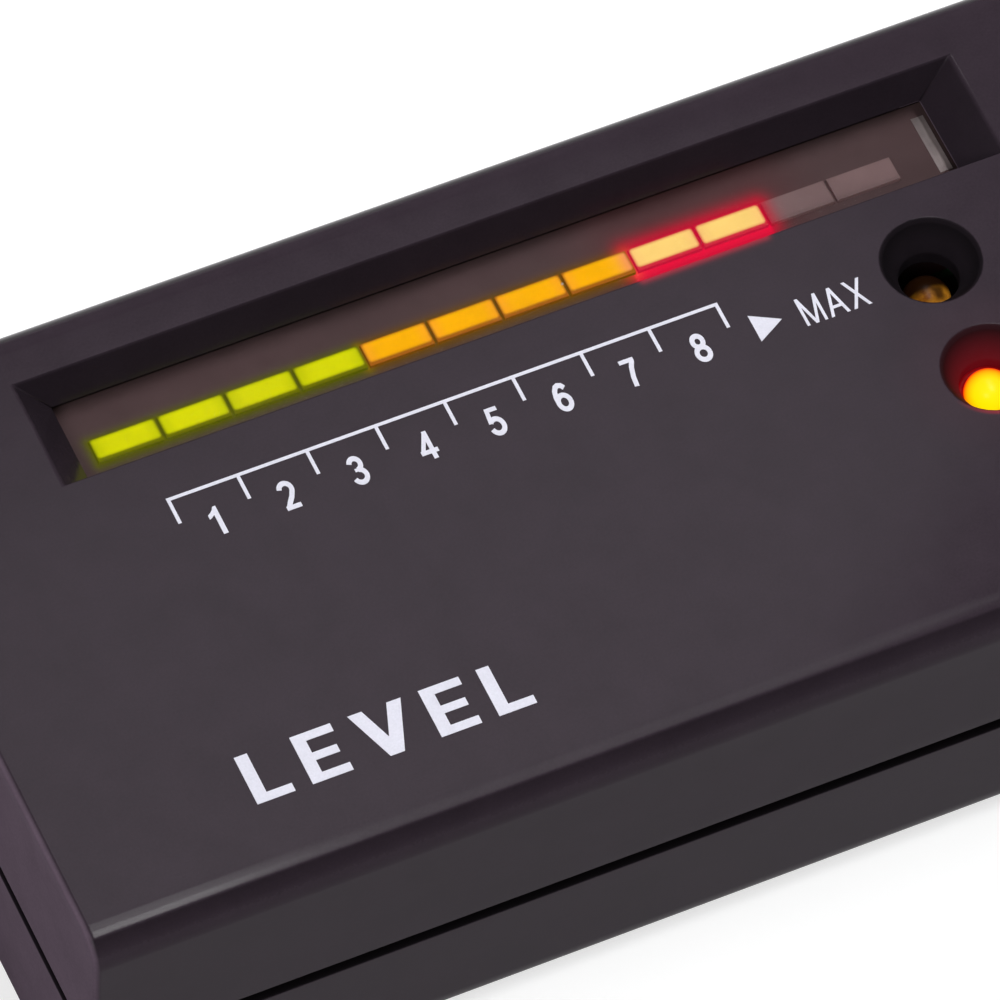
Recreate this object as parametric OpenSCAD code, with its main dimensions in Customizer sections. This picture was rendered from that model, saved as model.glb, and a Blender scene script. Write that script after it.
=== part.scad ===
// Handheld gem tester: a slim box with a bar display, two lamps, a side thumbwheel and a sprung probe tip.
// Millimetres. +X points to the probe tip and +Z is up.
// The origin is on the flat underside, below the middle of the overall length.

/* [Case] */
// Width of the case across its flat sides
case_w = 48; // [47.5:0.5:54]
// Height of the case at the butt end
case_h = 25; // [24.8:0.2:28]
// Length of the case that keeps the full section
box_l = 100; // [100:1:112]
// Length of the taper in front of the full section
taper_l = 42; // [40:1:50]
// Width of the case at the front of the taper
front_w = 22; // [21:0.5:26]
// Height of the case at the front of the taper
front_h = 17; // [17:0.5:19]
// Thickness of the case walls
wall = 2; // [1.8:0.1:2.2]
// Radius along the two upper long edges
top_r = 2.5; // [1.5:0.1:3.5]
// Radius along the two lower long edges
base_r = 3.2; // [2:0.1:4]
// Radius round the butt end and the front end
end_r = 0.5; // [0.3:0.1:0.8]
// Height of the middle of the groove between the two case halves
split_z = 11.9; // [11.7:0.1:12.1]
// Width of the groove between the two case halves
groove_w = 1.1; // [0.8:0.1:1.3]

/* [Display] */
// Number of bars in the display
bar_count = 12; // [11:1:12]
// Distance from one bar to the next
bar_pitch = 5; // [4.8:0.1:5.1]
// Length of one bar
bar_l = 4.77; // [4.4:0.01:4.79]
// Width of one bar
bar_w = 1.88; // [1.6:0.02:2.2]
// Distance from the butt end to the upper rim of the window recess
recess_x = 12.5; // [12.5:0.1:13.5]
// Length of the window recess at its upper rim
recess_l = 69.9; // [69:0.1:71]
// Width of the window recess at its upper rim
recess_w = 8.8; // [8.4:0.1:9.2]
// Distance from the far side of the case to the window recess
recess_edge = 4.85; // [4.6:0.05:5.2]
// Depth of the window recess down to the pane
recess_d = 3; // [2.8:0.1:3.2]
// Thickness of the window pane
pane_t = 1.2; // [1:0.1:1.4]

/* [Lamps] */
// Distance from the butt end to the two lamp wells
well_x = 73.8; // [73:0.1:74.5]
// Distance of the first lamp from the middle line, to the far side
ready_y = 4.2; // [4:0.1:4.6]
// Distance of the second lamp from the middle line, to the near side
power_y = 5.3; // [5:0.1:5.6]
// Diameter of a lamp well at the face
well_d = 7; // [6.4:0.1:7.4]
// Diameter of the hole at the bottom of a lamp well
well_hole_d = 4.2; // [4:0.1:4.6]
// Depth of the conical part of a lamp well
well_depth = 2.2; // [1.8:0.1:2.4]

/* [Thumbwheel] */
// Diameter of the thumbwheel
wheel_d = 22; // [21:0.5:23]
// Thickness of the thumbwheel
wheel_t = 3; // [2.6:0.1:3.4]
// How far the thumbwheel stands out of the near side
wheel_out = 1.4; // [1:0.1:1.8]
// Number of grip notches round the thumbwheel
notch_count = 40; // [24:4:48]

/* [Probe] */
// Diameter of the metal sleeve
sleeve_d = 5; // [4.8:0.1:5.4]
// Length of the sleeve in front of the nose cone
sleeve_out = 14; // [12:1:18]
// Length of the nose cone in front of the case
nose_l = 12; // [10:1:15]
// Diameter of the probe tip
tip_d = 1.6; // [1.4:0.1:1.8]
// Length of the probe tip in front of its bush
tip_out = 7; // [6:0.5:8]
// Travel of the sprung probe tip
tip_travel = 2; // [1:0.1:2]

/* [Battery door] */
// Length of the battery
battery_l = 46.4; // [45.5:0.1:46.8]
// Width of the battery
battery_w = 26.5; // [25.5:0.1:26.8]
// Height of the battery
battery_h = 17.5; // [17:0.1:17.8]
// Diameter of the hinge pins
hinge_d = 1.8; // [1.6:0.1:2]

/* [Assembly] */
// Which piece is drawn

/* [Hidden] */

// Fineness of true rounds, and number of facets in a corner of the case
$fn = 64;
corner_n = 10;
case_sides = 4 * (corner_n + 1);
// Clearances: a sliding fit, a seat, a gap that shows, and the overlap that joins one piece's own shapes
slide_fit = 0.06;
seat_fit = 0.05;
show_gap = 0.3;
join = 0.4;
// Excess length of the cutting shapes
over = 1;
// Gap between the front of the case and the nose cone that lies on it
nose_gap = 0.01;

// Colours
case_color = [0.2, 0.19, 0.2];
dark_color = [0.1, 0.1, 0.1];
steel_color = [0.7, 0.7, 0.72];
copper_color = [0.72, 0.43, 0.25];
board_color = [0.1, 0.35, 0.2];
white_color = [0.9, 0.9, 0.86];

// Case
half_w = case_w / 2;
inner_y = half_w - wall;
ceiling_z = case_h - wall;
front_x = box_l + taper_l;
front_wall_x = front_x - wall;
tongue_h = 1.5;
tongue_gap = 0.1;
tongue_z = split_z + groove_w / 2 + tongue_h;
least_r = 0.4;
taper_angle = atan((half_w - front_w / 2) / taper_l);
tall = case_h + 2 * over;

function taper_part(x) = max(0, (x - box_l) / taper_l);
function half_at(x) = half_w + (front_w / 2 - half_w) * taper_part(x);
function top_at(x) = case_h + (split_z + front_h / 2 - case_h) * taper_part(x);
function base_at(x) = (split_z - front_h / 2) * taper_part(x);

// Board
board_t = 1.6;
board_lift = 1;
board_top = split_z + board_lift;
board_z = board_top - board_t;
board_x0 = 9.4;
board_x1 = 64;
board_front = 18;
board_x2 = box_l + board_front;
board_edge = 0.7;
strip_y = 10;

// Display
recess_far = half_w - recess_edge;
recess_near = recess_far - recess_w;
recess_mid = (recess_far + recess_near) / 2;
recess_x2 = recess_x + recess_l;
end_slope = 2.6;
side_slope = 0.95;
rim_z = case_h - recess_d;
rim_w = 1;
pane_margin = 1.5;
pane_z = rim_z - pane_t;
bar_gap = 0.25;
bar_top = pane_z - bar_gap;
bars_in = 4.05;
bars_x = recess_x + bars_in;
housing_margin = 1;
housing_x = recess_x + end_slope - housing_margin;
housing_y = recess_near + side_slope - housing_margin;
housing_l = recess_l - 2 * (end_slope - housing_margin);
housing_w = recess_w - 2 * (side_slope - housing_margin);
housing_top = bar_top - bar_gap;
bar_fit = 0.04;
green_count = 4;
amber_count = 4;
red_count = 2;

// Lamps
lamp_r = 1.75;
lamp_flange_r = 2;
lamp_flange_t = 1;
lamp_h = 5.2;
ready_top = case_h - 3.2;
power_top = case_h - 1.5;
lamp_lead_r = 0.3;
lamp_lead_y = 1.27;
spacer_r = 2.3;
well_boss_wall = 1.6;
well_hole_l = 1.2;
well_boss_r = well_hole_d / 2 + well_boss_wall;
well_boss_z = case_h - well_depth - well_hole_l;

// Thumbwheel
wheel_r = wheel_d / 2;
wheel_ahead = 14.3;
wheel_x = well_x + wheel_ahead;
wheel_y = wheel_r - half_w - wheel_out;
control_t = 1.6;
wheel_z = board_top + control_t + show_gap;
wheel_top = wheel_z + wheel_t;
post_r = 1.5;
slot_gap = 0.6;
notch_r = 0.45;
clip_t = 0.6;
clip_r = 3.2;
control_r = inner_y - board_edge + wheel_y;

// Probe, along the middle of the groove
neck_r = 4.8;
flange_r = 6.1;
flange_t = 2;
nose_r = 7.8;
nose_rim = 1;
nose_tip_wall = 1.1;
nose_tip_r = sleeve_d / 2 + nose_tip_wall;
nose_x = front_x + nose_l;
nose_seat = front_x + nose_gap;
sleeve_r = sleeve_d / 2;
sleeve_wall = 0.7;
spigot_step = 0.2;
spigot_r = sleeve_r - spigot_step;
sleeve_bore_r = sleeve_r - sleeve_wall;
sleeve_tail = 2;
sleeve_x0 = front_wall_x - flange_t - sleeve_tail;
sleeve_x1 = nose_x + sleeve_out;
plug_l = 10;
plug_x1 = sleeve_x0 + plug_l;
bush_l = 6;
bush_head_t = 0.9;
bush_x0 = sleeve_x1 - bush_l;
tip_r = tip_d / 2;
tip_x1 = sleeve_x1 + bush_head_t + tip_out;
tip_cone_l = 3;
tip_end_r = 0.35;
collar_r = sleeve_bore_r - show_gap;
collar_t = 2.5;
collar_x1 = bush_x0 - show_gap;
collar_x0 = collar_x1 - collar_t;
heater_l = 3;
heater_r = 0.7;
heater_gap = 1;
heater_x0 = plug_x1 + tip_travel + heater_gap;
spring_gap = 0.2;
spring_r = sleeve_bore_r - spring_gap;
spring_wire = 0.35;

// Contact strips on the flanks of the taper
strip_l = 24;
strip_h = 4;
strip_t = 0.8;
strip_pocket = 0.5;
contact_x = box_l + taper_l / 2;
contact_lift = 3.2;
contact_z = split_z + groove_w / 2 + contact_lift;
contact_fit = 0.1;

// Battery and its door
battery_x = 10;
battery_gap = 1.1;
battery_y = strip_y - battery_gap - battery_w / 2;
battery_z = wall + show_gap;
battery_top = battery_z + battery_h;
battery_mid = battery_z + battery_h / 2;
battery_x1 = battery_x + battery_l;
terminal_l = 2;
terminal_y = 6.35;
terminal_small_r = 2.9;
terminal_large_r = 4;
pad_share = 0.55;
snap_l = 4.2;
snap_w = 25;
snap_h = 12.6;
snap_gap = 0.2;
snap_x = battery_x1 + snap_gap;
snap_x1 = snap_x + snap_l;
door_side = 1;
door_end = 0.5;
door_x0 = battery_x - door_end;
hinge_ahead = 2.6;
hinge_x = battery_x1 + hinge_ahead;
hinge_z = wall;
knuckle_r = 1.8;
hinge_r = hinge_d / 2;
knuckle_gap = 0.6;
opening_x1 = hinge_x + knuckle_r + knuckle_gap;
opening_y0 = battery_y - battery_w / 2 - door_side;
opening_y1 = battery_y + battery_w / 2 + door_side;
pin_l = 2.2;
hinge_block_w = 3;
hinge_block_l = 5;
hinge_block_wall = 1.4;
hinge_block_z = hinge_z + hinge_r + hinge_block_wall;
grip_r = 7;
grip_depth = 0.8;
rib_w = 0.8;
rib_depth = 0.4;
rib_pitch = 2.2;
rib_l = 14;
rib_count = 4;
rib_start = 3;

// Screws: places from the butt end and the middle line
screw_edge = 6;
front_screw_x = box_l + 4 * screw_edge;
front_screw_y = 10;
case_screw_at = [
    [screw_edge, half_w - screw_edge],
    [screw_edge, screw_edge - half_w],
    [front_screw_x, front_screw_y],
    [front_screw_x, -front_screw_y]
];
case_post_r = 3;
case_post_top = board_z;
case_seat = 4.6;
case_head_r = 2.4;
case_head_t = 1.8;
case_shank_r = 1.3;
case_shank_l = 13;
board_screw_in = 1.8;
board_screw_step = 3;
board_screw_at = [
    [board_x0 + board_screw_in, strip_y + board_screw_in + slide_fit],
    [recess_x2 + 2 * board_screw_in, half_w - screw_edge],
    [board_x2 - board_screw_step, -front_screw_y],
    [board_x1 + board_screw_in + board_screw_step, screw_edge - half_w]
];
board_boss_r = 1.9;
board_head_r = 1.8;
board_head_t = 1.4;
board_shank_r = 0.95;
board_shank_l = 7;
slot_w = 0.6;
slot_depth = 0.7;
slot_reach = 0.7;

// Parts on the board
// The two chips hang under the board; the rest stands on it
driver_ahead = 20;
driver_at = [board_x1 + driver_ahead, 0];
driver_pins = 9;
amplifier_ahead = 8;
amplifier_at = [board_x1 + amplifier_ahead, ready_y];
amplifier_pins = 4;
pin_pitch = 2.54;
pin_w = 0.5;
pin_row = 7.6;
chip_w = 6.4;
chip_h = 3.2;
chip_lift = 0.6;
buzzer_r = 6;
buzzer_edge = 3.5;
buzzer_ahead = 14.6;
buzzer_at = [recess_x2 + buzzer_ahead, inner_y - buzzer_edge - buzzer_r];
buzzer_h = 7.5;
buzzer_hole_r = 1;
buzzer_hole_l = 2;
capacitor_r = 2.5;
capacitor_gap = 2.5;
capacitor_at = [buzzer_at[0], buzzer_at[1] - buzzer_r - capacitor_gap - capacitor_r];
capacitor_h = 8;
capacitor_foot = 1.2;
capacitor_groove = 0.4;
capacitor_waist = 0.2;
trimmer_w = 6;
trimmer_gap = 0.8;
trimmer_at = [
    board_x1 + trimmer_w / 2 + trimmer_gap,
    screw_edge - half_w + board_boss_r + trimmer_gap + trimmer_w / 2
];
trimmer_h = 4.4;
trimmer_knob_r = 1.8;
trimmer_knob_h = 0.5;
socket_edge = 3;
socket_at = [board_x2 - socket_edge, socket_edge];
socket_w = 5;
socket_l = 7;
socket_h = 5;
socket_wall = 0.8;
socket_depth = 1;

// Wires
wire_sides = 8;
lead_r = 0.65;
lead_in = 2;
lead_drop_x = board_x1 + lead_in;
lead_gap = 3;
red_lead_y = battery_y + lead_gap;
black_lead_y = battery_y;
lead_h = 2.6;
lead_bend_r = 1.9;
lead_z = board_top + lead_h;
probe_wire_r = 0.5;
probe_wire_steps = 9;
probe_wire_y = 0.7;
socket_wire_y = 1.4;
socket_wire_z = board_top + lead_h;

origin_x = tip_x1 / 2;

// Moves a piece from the case's own place, with the butt end at x = 0, to the shared origin
module place() {
    translate([-origin_x, 0, 0])
        children();
}

// A round bar along X
module along_x(x0, x1, r) {
    translate([x0, 0, split_z])
        rotate([0, 90, 0])
            cylinder(h = x1 - x0, r = r);
}

// A closed solid through a row of rings, each with the same number of points
module ring_solid(points, sides) {
    rings = len(points) / sides;
    walls = [
        for (i = [0:rings - 2])
            for (k = [0:sides - 1])
                let (m = (k + 1) % sides, a = i * sides, b = a + sides)
                    [a + k, b + k, b + m, a + m]
    ];
    first_end = [for (k = [0:sides - 1]) k];
    last_end = [for (k = [0:sides - 1]) rings * sides - 1 - k];
    polyhedron(points = points, faces = concat(walls, [first_end], [last_end]), convexity = 4);
}

// Points of a quarter circle across the case
function quarter(y, z, r, from) = [
    for (i = [0:corner_n])
        let (turn = from + 90 * i / corner_n)
            [y + r * cos(turn), z + r * sin(turn)]
];

// One rounded ring round the case, with its outline moved in by an inset
function case_ring(x, at, inset) =
    let (
        upper_r = max(top_r - inset, least_r),
        lower_r = max(base_r - inset, least_r),
        upper_y = half_at(at) - inset - upper_r,
        lower_y = half_at(at) - inset - lower_r,
        upper_z = top_at(at) - inset - upper_r,
        lower_z = base_at(at) + inset + lower_r
    )
        [
            for (point = concat(
                quarter(upper_y, upper_z, upper_r, 0),
                quarter(-upper_y, upper_z, upper_r, 90),
                quarter(-lower_y, lower_z, lower_r, 180),
                quarter(lower_y, lower_z, lower_r, 270)
            ))
                [x, point[0], point[1]]
        ];

// The outside of the case, with rounded ends
module case_outside() {
    butt = [
        for (turn = [0:30:90])
            each case_ring(end_r * (1 - cos(turn)), 0, end_r * (1 - sin(turn)))
    ];
    front = [
        for (turn = [90:-30:0])
            each case_ring(front_x - end_r * (1 - cos(turn)), front_x, end_r * (1 - sin(turn)))
    ];
    ring_solid(concat(butt, case_ring(box_l, box_l, 0), front), case_sides);
}

// The outline of the case moved in by an inset, with plain ends
module case_inside(inset) {
    ring_solid([for (x = [inset, box_l, front_x - inset]) each case_ring(x, x, inset)], case_sides);
}

// The space between two heights, wider than the case
module slab(z0, z1) {
    translate([-over, -half_w - over, z0])
        cube([front_x + 2 * over, case_w + 2 * over, z1 - z0]);
}

// The window recess: walls that slope in to the pane
module recess_form() {
    intersection() {
        translate([0, recess_far + over, 0])
            rotate([90, 0, 0])
                linear_extrude(recess_w + 2 * over)
                    polygon([
                        [recess_x + end_slope, rim_z],
                        [recess_x2 - end_slope, rim_z],
                        [recess_x2, case_h],
                        [recess_x2, case_h + over],
                        [recess_x, case_h + over],
                        [recess_x, case_h]
                    ]);
        translate([recess_x, 0, 0])
            rotate([90, 0, 90])
                linear_extrude(recess_l)
                    polygon([
                        [recess_near + side_slope, rim_z],
                        [recess_far - side_slope, rim_z],
                        [recess_far, case_h],
                        [recess_far, case_h + over],
                        [recess_near, case_h + over],
                        [recess_near, case_h]
                    ]);
    }
}

// One conical lamp well with its hole
module well_form() {
    hole_r = well_hole_d / 2;
    translate([0, 0, case_h])
        rotate_extrude()
            polygon([
                [0, over],
                [well_d / 2, over],
                [well_d / 2, 0],
                [hole_r, -well_depth],
                [hole_r, -case_h / 2],
                [0, -case_h / 2]
            ]);
}

// A flat strip with round ends, standing on a flank of the taper; side is 1 for far and -1 for near
module flank_strip(side, grow, deep, proud) {
    long = strip_l - strip_h + 2 * grow;
    end_r = strip_h / 2 + grow;
    translate([contact_x, side * half_at(contact_x), contact_z])
        rotate([0, 0, -side * taper_angle])
            translate([0, side * (proud - deep) / 2, 0])
                rotate([90, 0, 0])
                    union() {
                        cube([long, 2 * end_r, deep + proud], center = true);
                        for (end = [-1, 1])
                            translate([end * long / 2, 0, 0])
                                cylinder(h = deep + proud, r = end_r, center = true);
                    }
}

module top_case() {
    color(case_color)
        place()
            difference() {
                union() {
                    difference() {
                        intersection() {
                            difference() {
                                case_outside();
                                case_inside(wall);
                            }
                            slab(split_z + groove_w / 2, tall);
                        }
                        // step that takes the tongue of the bottom case
                        intersection() {
                            case_inside(wall / 2 - tongue_gap);
                            slab(split_z, tongue_z);
                        }
                    }
                    // frame under the window recess
                    translate([recess_x - rim_w, recess_near - rim_w, rim_z])
                        cube([recess_l + 2 * rim_w, recess_w + 2 * rim_w, ceiling_z - rim_z + join]);
                    // bosses under the lamp wells
                    for (y = [ready_y, -power_y])
                        translate([well_x, y, well_boss_z])
                            cylinder(h = ceiling_z - well_boss_z + join, r = well_boss_r);
                    // bosses for the case screws and the board screws
                    for (at = case_screw_at)
                        translate([at[0], at[1], case_post_top])
                            cylinder(h = top_at(at[0]) - wall + join - case_post_top, r = case_post_r);
                    for (at = board_screw_at)
                        translate([at[0], at[1], board_top])
                            cylinder(h = top_at(at[0]) - wall + join - board_top, r = board_boss_r);
                }
                recess_form();
                for (y = [ready_y, -power_y])
                    translate([well_x, y, 0])
                        well_form();
                // slot for the thumbwheel
                translate([wheel_x, wheel_y, wheel_z - slot_gap])
                    cylinder(h = wheel_t + 2 * slot_gap, r = wheel_r + slot_gap);
                // hole for the neck of the nose cone
                along_x(front_wall_x - over, front_x + over, neck_r + seat_fit);
                for (at = case_screw_at)
                    translate([at[0], at[1], case_post_top - over])
                        cylinder(h = base_at(at[0]) + case_seat + case_shank_l + 2 * over - case_post_top,
                                 r = case_shank_r + seat_fit);
                for (at = board_screw_at)
                    translate([at[0], at[1], board_top - over])
                        cylinder(h = board_shank_l + over, r = board_shank_r + seat_fit);
                for (side = [-1, 1])
                    flank_strip(side, contact_fit, strip_pocket, over);
            }
}

module bottom_case() {
    color(case_color)
        place()
            difference() {
                union() {
                    intersection() {
                        difference() {
                            case_outside();
                            case_inside(wall);
                        }
                        slab(-over, split_z - groove_w / 2);
                    }
                    // tongue behind the groove
                    intersection() {
                        difference() {
                            case_inside(wall / 2);
                            case_inside(wall);
                        }
                        slab(split_z - groove_w / 2 - over, tongue_z);
                    }
                    // posts for the case screws
                    for (at = case_screw_at)
                        translate([at[0], at[1], base_at(at[0]) + wall - join])
                            cylinder(h = case_post_top - base_at(at[0]) - wall + join,
                                     r = case_post_r + show_gap);
                    // blocks for the hinge of the battery door
                    for (y = [opening_y0 - hinge_block_w, opening_y1])
                        translate([opening_x1 - hinge_block_l, y, wall / 2])
                            cube([hinge_block_l, hinge_block_w, hinge_block_z - wall / 2]);
                }
                // opening for the battery door
                translate([door_x0, opening_y0, -over])
                    cube([opening_x1 - door_x0, opening_y1 - opening_y0, wall + 2 * over]);
                // bores for the hinge pins
                translate([hinge_x, opening_y0 - pin_l - show_gap, hinge_z])
                    rotate([-90, 0, 0])
                        cylinder(h = opening_y1 - opening_y0 + 2 * (pin_l + show_gap), r = hinge_r + slide_fit);
                along_x(front_wall_x - over, front_x + over, neck_r + seat_fit);
                for (at = case_screw_at) {
                    seat = base_at(at[0]) + case_seat;
                    translate([at[0], at[1], -over])
                        cylinder(h = seat + over, r = case_head_r + show_gap);
                    translate([at[0], at[1], seat - over])
                        cylinder(h = case_post_top - seat + 2 * over, r = case_shank_r + seat_fit);
                }
            }
}

module battery_door() {
    plate_y0 = opening_y0 + show_gap;
    plate_w = opening_y1 - opening_y0 - 2 * show_gap;
    mid_y = (opening_y0 + opening_y1) / 2;
    color(case_color)
        place()
            difference() {
                union() {
                    translate([door_x0 + show_gap, plate_y0, 0])
                        cube([hinge_x - door_x0 - show_gap, plate_w, wall]);
                    translate([hinge_x, plate_y0, hinge_z])
                        rotate([-90, 0, 0])
                            cylinder(h = plate_w, r = knuckle_r);
                    translate([hinge_x, opening_y0 - pin_l, hinge_z])
                        rotate([-90, 0, 0])
                            cylinder(h = opening_y1 - opening_y0 + 2 * pin_l, r = hinge_r);
                }
                // finger grip at the free end, and the ribs beside it
                translate([door_x0 + grip_r, mid_y - rib_l / 2, grip_depth - grip_r])
                    rotate([-90, 0, 0])
                        cylinder(h = rib_l, r = grip_r);
                for (i = [1:rib_count])
                    translate([door_x0 + grip_r + rib_start + i * rib_pitch, mid_y - rib_l / 2, -over])
                        cube([rib_w, rib_l, over + rib_depth]);
            }
}

module window_pane() {
    color([0.25, 0.2, 0.2, 0.6])
        place()
            translate([recess_x + end_slope - pane_margin, recess_near + side_slope - pane_margin, pane_z])
                cube([
                    recess_l - 2 * (end_slope - pane_margin),
                    recess_w - 2 * (side_slope - pane_margin),
                    pane_t
                ]);
}

module nose_cone() {
    color(dark_color)
        place()
            translate([0, 0, split_z])
                rotate([0, 90, 0])
                    rotate_extrude()
                        polygon([
                            [spigot_r + seat_fit, front_wall_x - seat_fit - flange_t],
                            [flange_r, front_wall_x - seat_fit - flange_t],
                            [flange_r, front_wall_x - seat_fit],
                            [neck_r, front_wall_x - seat_fit],
                            [neck_r, nose_seat],
                            [nose_r, nose_seat],
                            [nose_r, nose_seat + nose_rim],
                            [nose_tip_r, nose_x],
                            [spigot_r + seat_fit, nose_x]
                        ]);
}

module probe_sleeve() {
    color(steel_color)
        place()
            difference() {
                union() {
                    along_x(sleeve_x0, nose_x + join, spigot_r);
                    along_x(nose_x, sleeve_x1, sleeve_r);
                }
                along_x(sleeve_x0 - over, sleeve_x1 + over, sleeve_bore_r);
            }
}

module sleeve_plug() {
    color(white_color)
        place()
            along_x(sleeve_x0, plug_x1, sleeve_bore_r - seat_fit);
}

module tip_bush() {
    color(white_color)
        place()
            difference() {
                union() {
                    along_x(bush_x0, sleeve_x1 + bush_head_t, sleeve_bore_r - seat_fit);
                    along_x(sleeve_x1, sleeve_x1 + bush_head_t, spigot_r);
                }
                along_x(bush_x0 - over, tip_x1, tip_r + slide_fit);
            }
}

module probe_tip() {
    color(copper_color)
        place()
            union() {
                along_x(heater_x0 + heater_l, tip_x1 - tip_cone_l, tip_r);
                along_x(collar_x0, collar_x1, collar_r);
                translate([tip_x1 - tip_cone_l, 0, split_z])
                    rotate([0, 90, 0])
                        cylinder(h = tip_cone_l - tip_end_r, r1 = tip_r, r2 = tip_end_r);
                translate([tip_x1 - tip_end_r, 0, split_z])
                    sphere(r = tip_end_r);
            }
}

module probe_heater() {
    color([0.25, 0.22, 0.2])
        place()
            along_x(heater_x0, heater_x0 + heater_l, heater_r);
}

// Hidden in the sleeve, so the coil is drawn as a plain tube
module probe_spring() {
    color(steel_color)
        place()
            difference() {
                along_x(plug_x1, collar_x0, spring_r);
                along_x(plug_x1 - over, collar_x0 + over, spring_r - spring_wire);
            }
}

module contact_strip_far() {
    color(steel_color)
        place()
            flank_strip(1, 0, strip_pocket, strip_t - strip_pocket);
}

module contact_strip_near() {
    color(steel_color)
        place()
            flank_strip(-1, 0, strip_pocket, strip_t - strip_pocket);
}

module thumbwheel() {
    color(dark_color)
        place()
            translate([wheel_x, wheel_y, wheel_z])
                difference() {
                    cylinder(h = wheel_t, r = wheel_r);
                    translate([0, 0, -over])
                        cylinder(h = wheel_t + 2 * over, r = post_r + slide_fit);
                    for (i = [1:notch_count])
                        rotate([0, 0, i * 360 / notch_count])
                            translate([wheel_r, 0, -over])
                                cylinder(h = wheel_t + 2 * over, r = notch_r, $fn = 24);
                }
}

module wheel_control() {
    color([0.35, 0.33, 0.3])
        place()
            translate([wheel_x, wheel_y, board_top])
                union() {
                    cylinder(h = control_t, r = control_r);
                    cylinder(h = wheel_top + show_gap + clip_t + show_gap - board_top, r = post_r);
                }
}

module wheel_clip() {
    color(steel_color)
        place()
            translate([wheel_x, wheel_y, wheel_top + show_gap])
                difference() {
                    cylinder(h = clip_t, r = clip_r);
                    translate([0, 0, -over])
                        cylinder(h = clip_t + 2 * over, r = post_r + seat_fit);
                }
}

module main_board() {
    edge_y = inner_y - board_edge;
    front_y = half_at(board_x2) - wall - 2 * board_edge;
    color(board_color)
        place()
            difference() {
                translate([0, 0, board_z])
                    linear_extrude(board_t)
                        polygon([
                            [board_x0, strip_y],
                            [board_x1, strip_y],
                            [board_x1, -edge_y],
                            [box_l, -edge_y],
                            [board_x2, -front_y],
                            [board_x2, front_y],
                            [box_l, edge_y],
                            [board_x0, edge_y]
                        ]);
                for (at = board_screw_at)
                    translate([at[0], at[1], board_z - over])
                        cylinder(h = board_t + 2 * over, r = board_shank_r + show_gap);
            }
}

// Bars from number first, in display order
module bars(first, count) {
    for (i = [first:first + count - 1])
        translate([bars_x + i * bar_pitch + (bar_pitch - bar_l) / 2, recess_mid - bar_w / 2, board_top])
            cube([bar_l, bar_w, bar_top - board_top]);
}

module bar_housing() {
    color(dark_color)
        place()
            difference() {
                translate([housing_x, housing_y, board_top])
                    cube([housing_l, housing_w, housing_top - board_top]);
                for (i = [0:bar_count - 1])
                    translate([
                        bars_x + i * bar_pitch + (bar_pitch - bar_l) / 2 - bar_fit,
                        recess_mid - bar_w / 2 - bar_fit,
                        board_top - over
                    ])
                        cube([bar_l + 2 * bar_fit, bar_w + 2 * bar_fit, housing_top - board_top + 2 * over]);
            }
}

module green_bars() {
    color([0.75, 0.85, 0.1])
        place()
            bars(0, green_count);
}

module amber_bars() {
    color([1, 0.65, 0.05])
        place()
            bars(green_count, amber_count);
}

module red_bars() {
    color([0.95, 0.15, 0.15])
        place()
            bars(green_count + amber_count, red_count);
}

module unlit_bars() {
    lit = green_count + amber_count + red_count;
    color([0.5, 0.44, 0.43])
        place()
            bars(lit, bar_count - lit);
}

// A round lamp with a domed end at a given height, a flange and two leads
module lamp(top) {
    seat = top - lamp_h;
    union() {
        translate([0, 0, seat])
            cylinder(h = lamp_flange_t, r = lamp_flange_r);
        translate([0, 0, seat])
            cylinder(h = lamp_h - lamp_r, r = lamp_r);
        translate([0, 0, top - lamp_r])
            sphere(r = lamp_r);
        for (side = [-1, 1])
            translate([0, side * lamp_lead_y, board_top])
                cylinder(h = seat + join - board_top, r = lamp_lead_r);
    }
}

module ready_lamp() {
    color([0.6, 0.36, 0.08])
        place()
            translate([well_x, ready_y, 0])
                lamp(ready_top);
}

module power_lamp() {
    color([1, 0.3, 0.1])
        place()
            translate([well_x, -power_y, 0])
                lamp(power_top);
}

module lamp_spacers() {
    color(dark_color)
        place()
            for (at = [[ready_y, ready_top], [-power_y, power_top]])
                translate([well_x, at[0], board_top])
                    difference() {
                        cylinder(h = at[1] - lamp_h - board_top, r = spacer_r);
                        for (side = [-1, 1])
                            translate([0, side * lamp_lead_y, -over])
                                cylinder(h = at[1] - lamp_h - board_top + 2 * over, r = lamp_lead_r + seat_fit);
                    }
}

module buzzer() {
    color(dark_color)
        place()
            translate([buzzer_at[0], buzzer_at[1], board_top])
                difference() {
                    cylinder(h = buzzer_h, r = buzzer_r);
                    translate([0, 0, buzzer_h - buzzer_hole_l])
                        cylinder(h = buzzer_hole_l + over, r = buzzer_hole_r);
                }
}

module battery() {
    color([0.3, 0.3, 0.34])
        place()
            union() {
                translate([battery_x, battery_y - battery_w / 2, battery_z])
                    cube([battery_l, battery_w, battery_h]);
                translate([battery_x1 - join, battery_y - terminal_y, battery_mid])
                    rotate([0, 90, 0])
                        cylinder(h = terminal_l + join, r = terminal_large_r);
                translate([battery_x1 - join, battery_y + terminal_y, battery_mid])
                    rotate([0, 90, 0])
                        cylinder(h = terminal_l + join, r = terminal_small_r);
            }
}

module battery_snap() {
    pocket_x = battery_x1 + terminal_l + seat_fit;
    color(dark_color)
        place()
            difference() {
                translate([snap_x, battery_y - snap_w / 2, battery_mid - snap_h / 2])
                    cube([snap_l, snap_w, snap_h]);
                translate([snap_x - over, battery_y - terminal_y, battery_mid])
                    rotate([0, 90, 0])
                        cylinder(h = pocket_x - snap_x + over, r = terminal_large_r + show_gap);
                translate([snap_x - over, battery_y + terminal_y, battery_mid])
                    rotate([0, 90, 0])
                        cylinder(h = pocket_x - snap_x + over, r = terminal_small_r + show_gap);
            }
}

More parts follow.
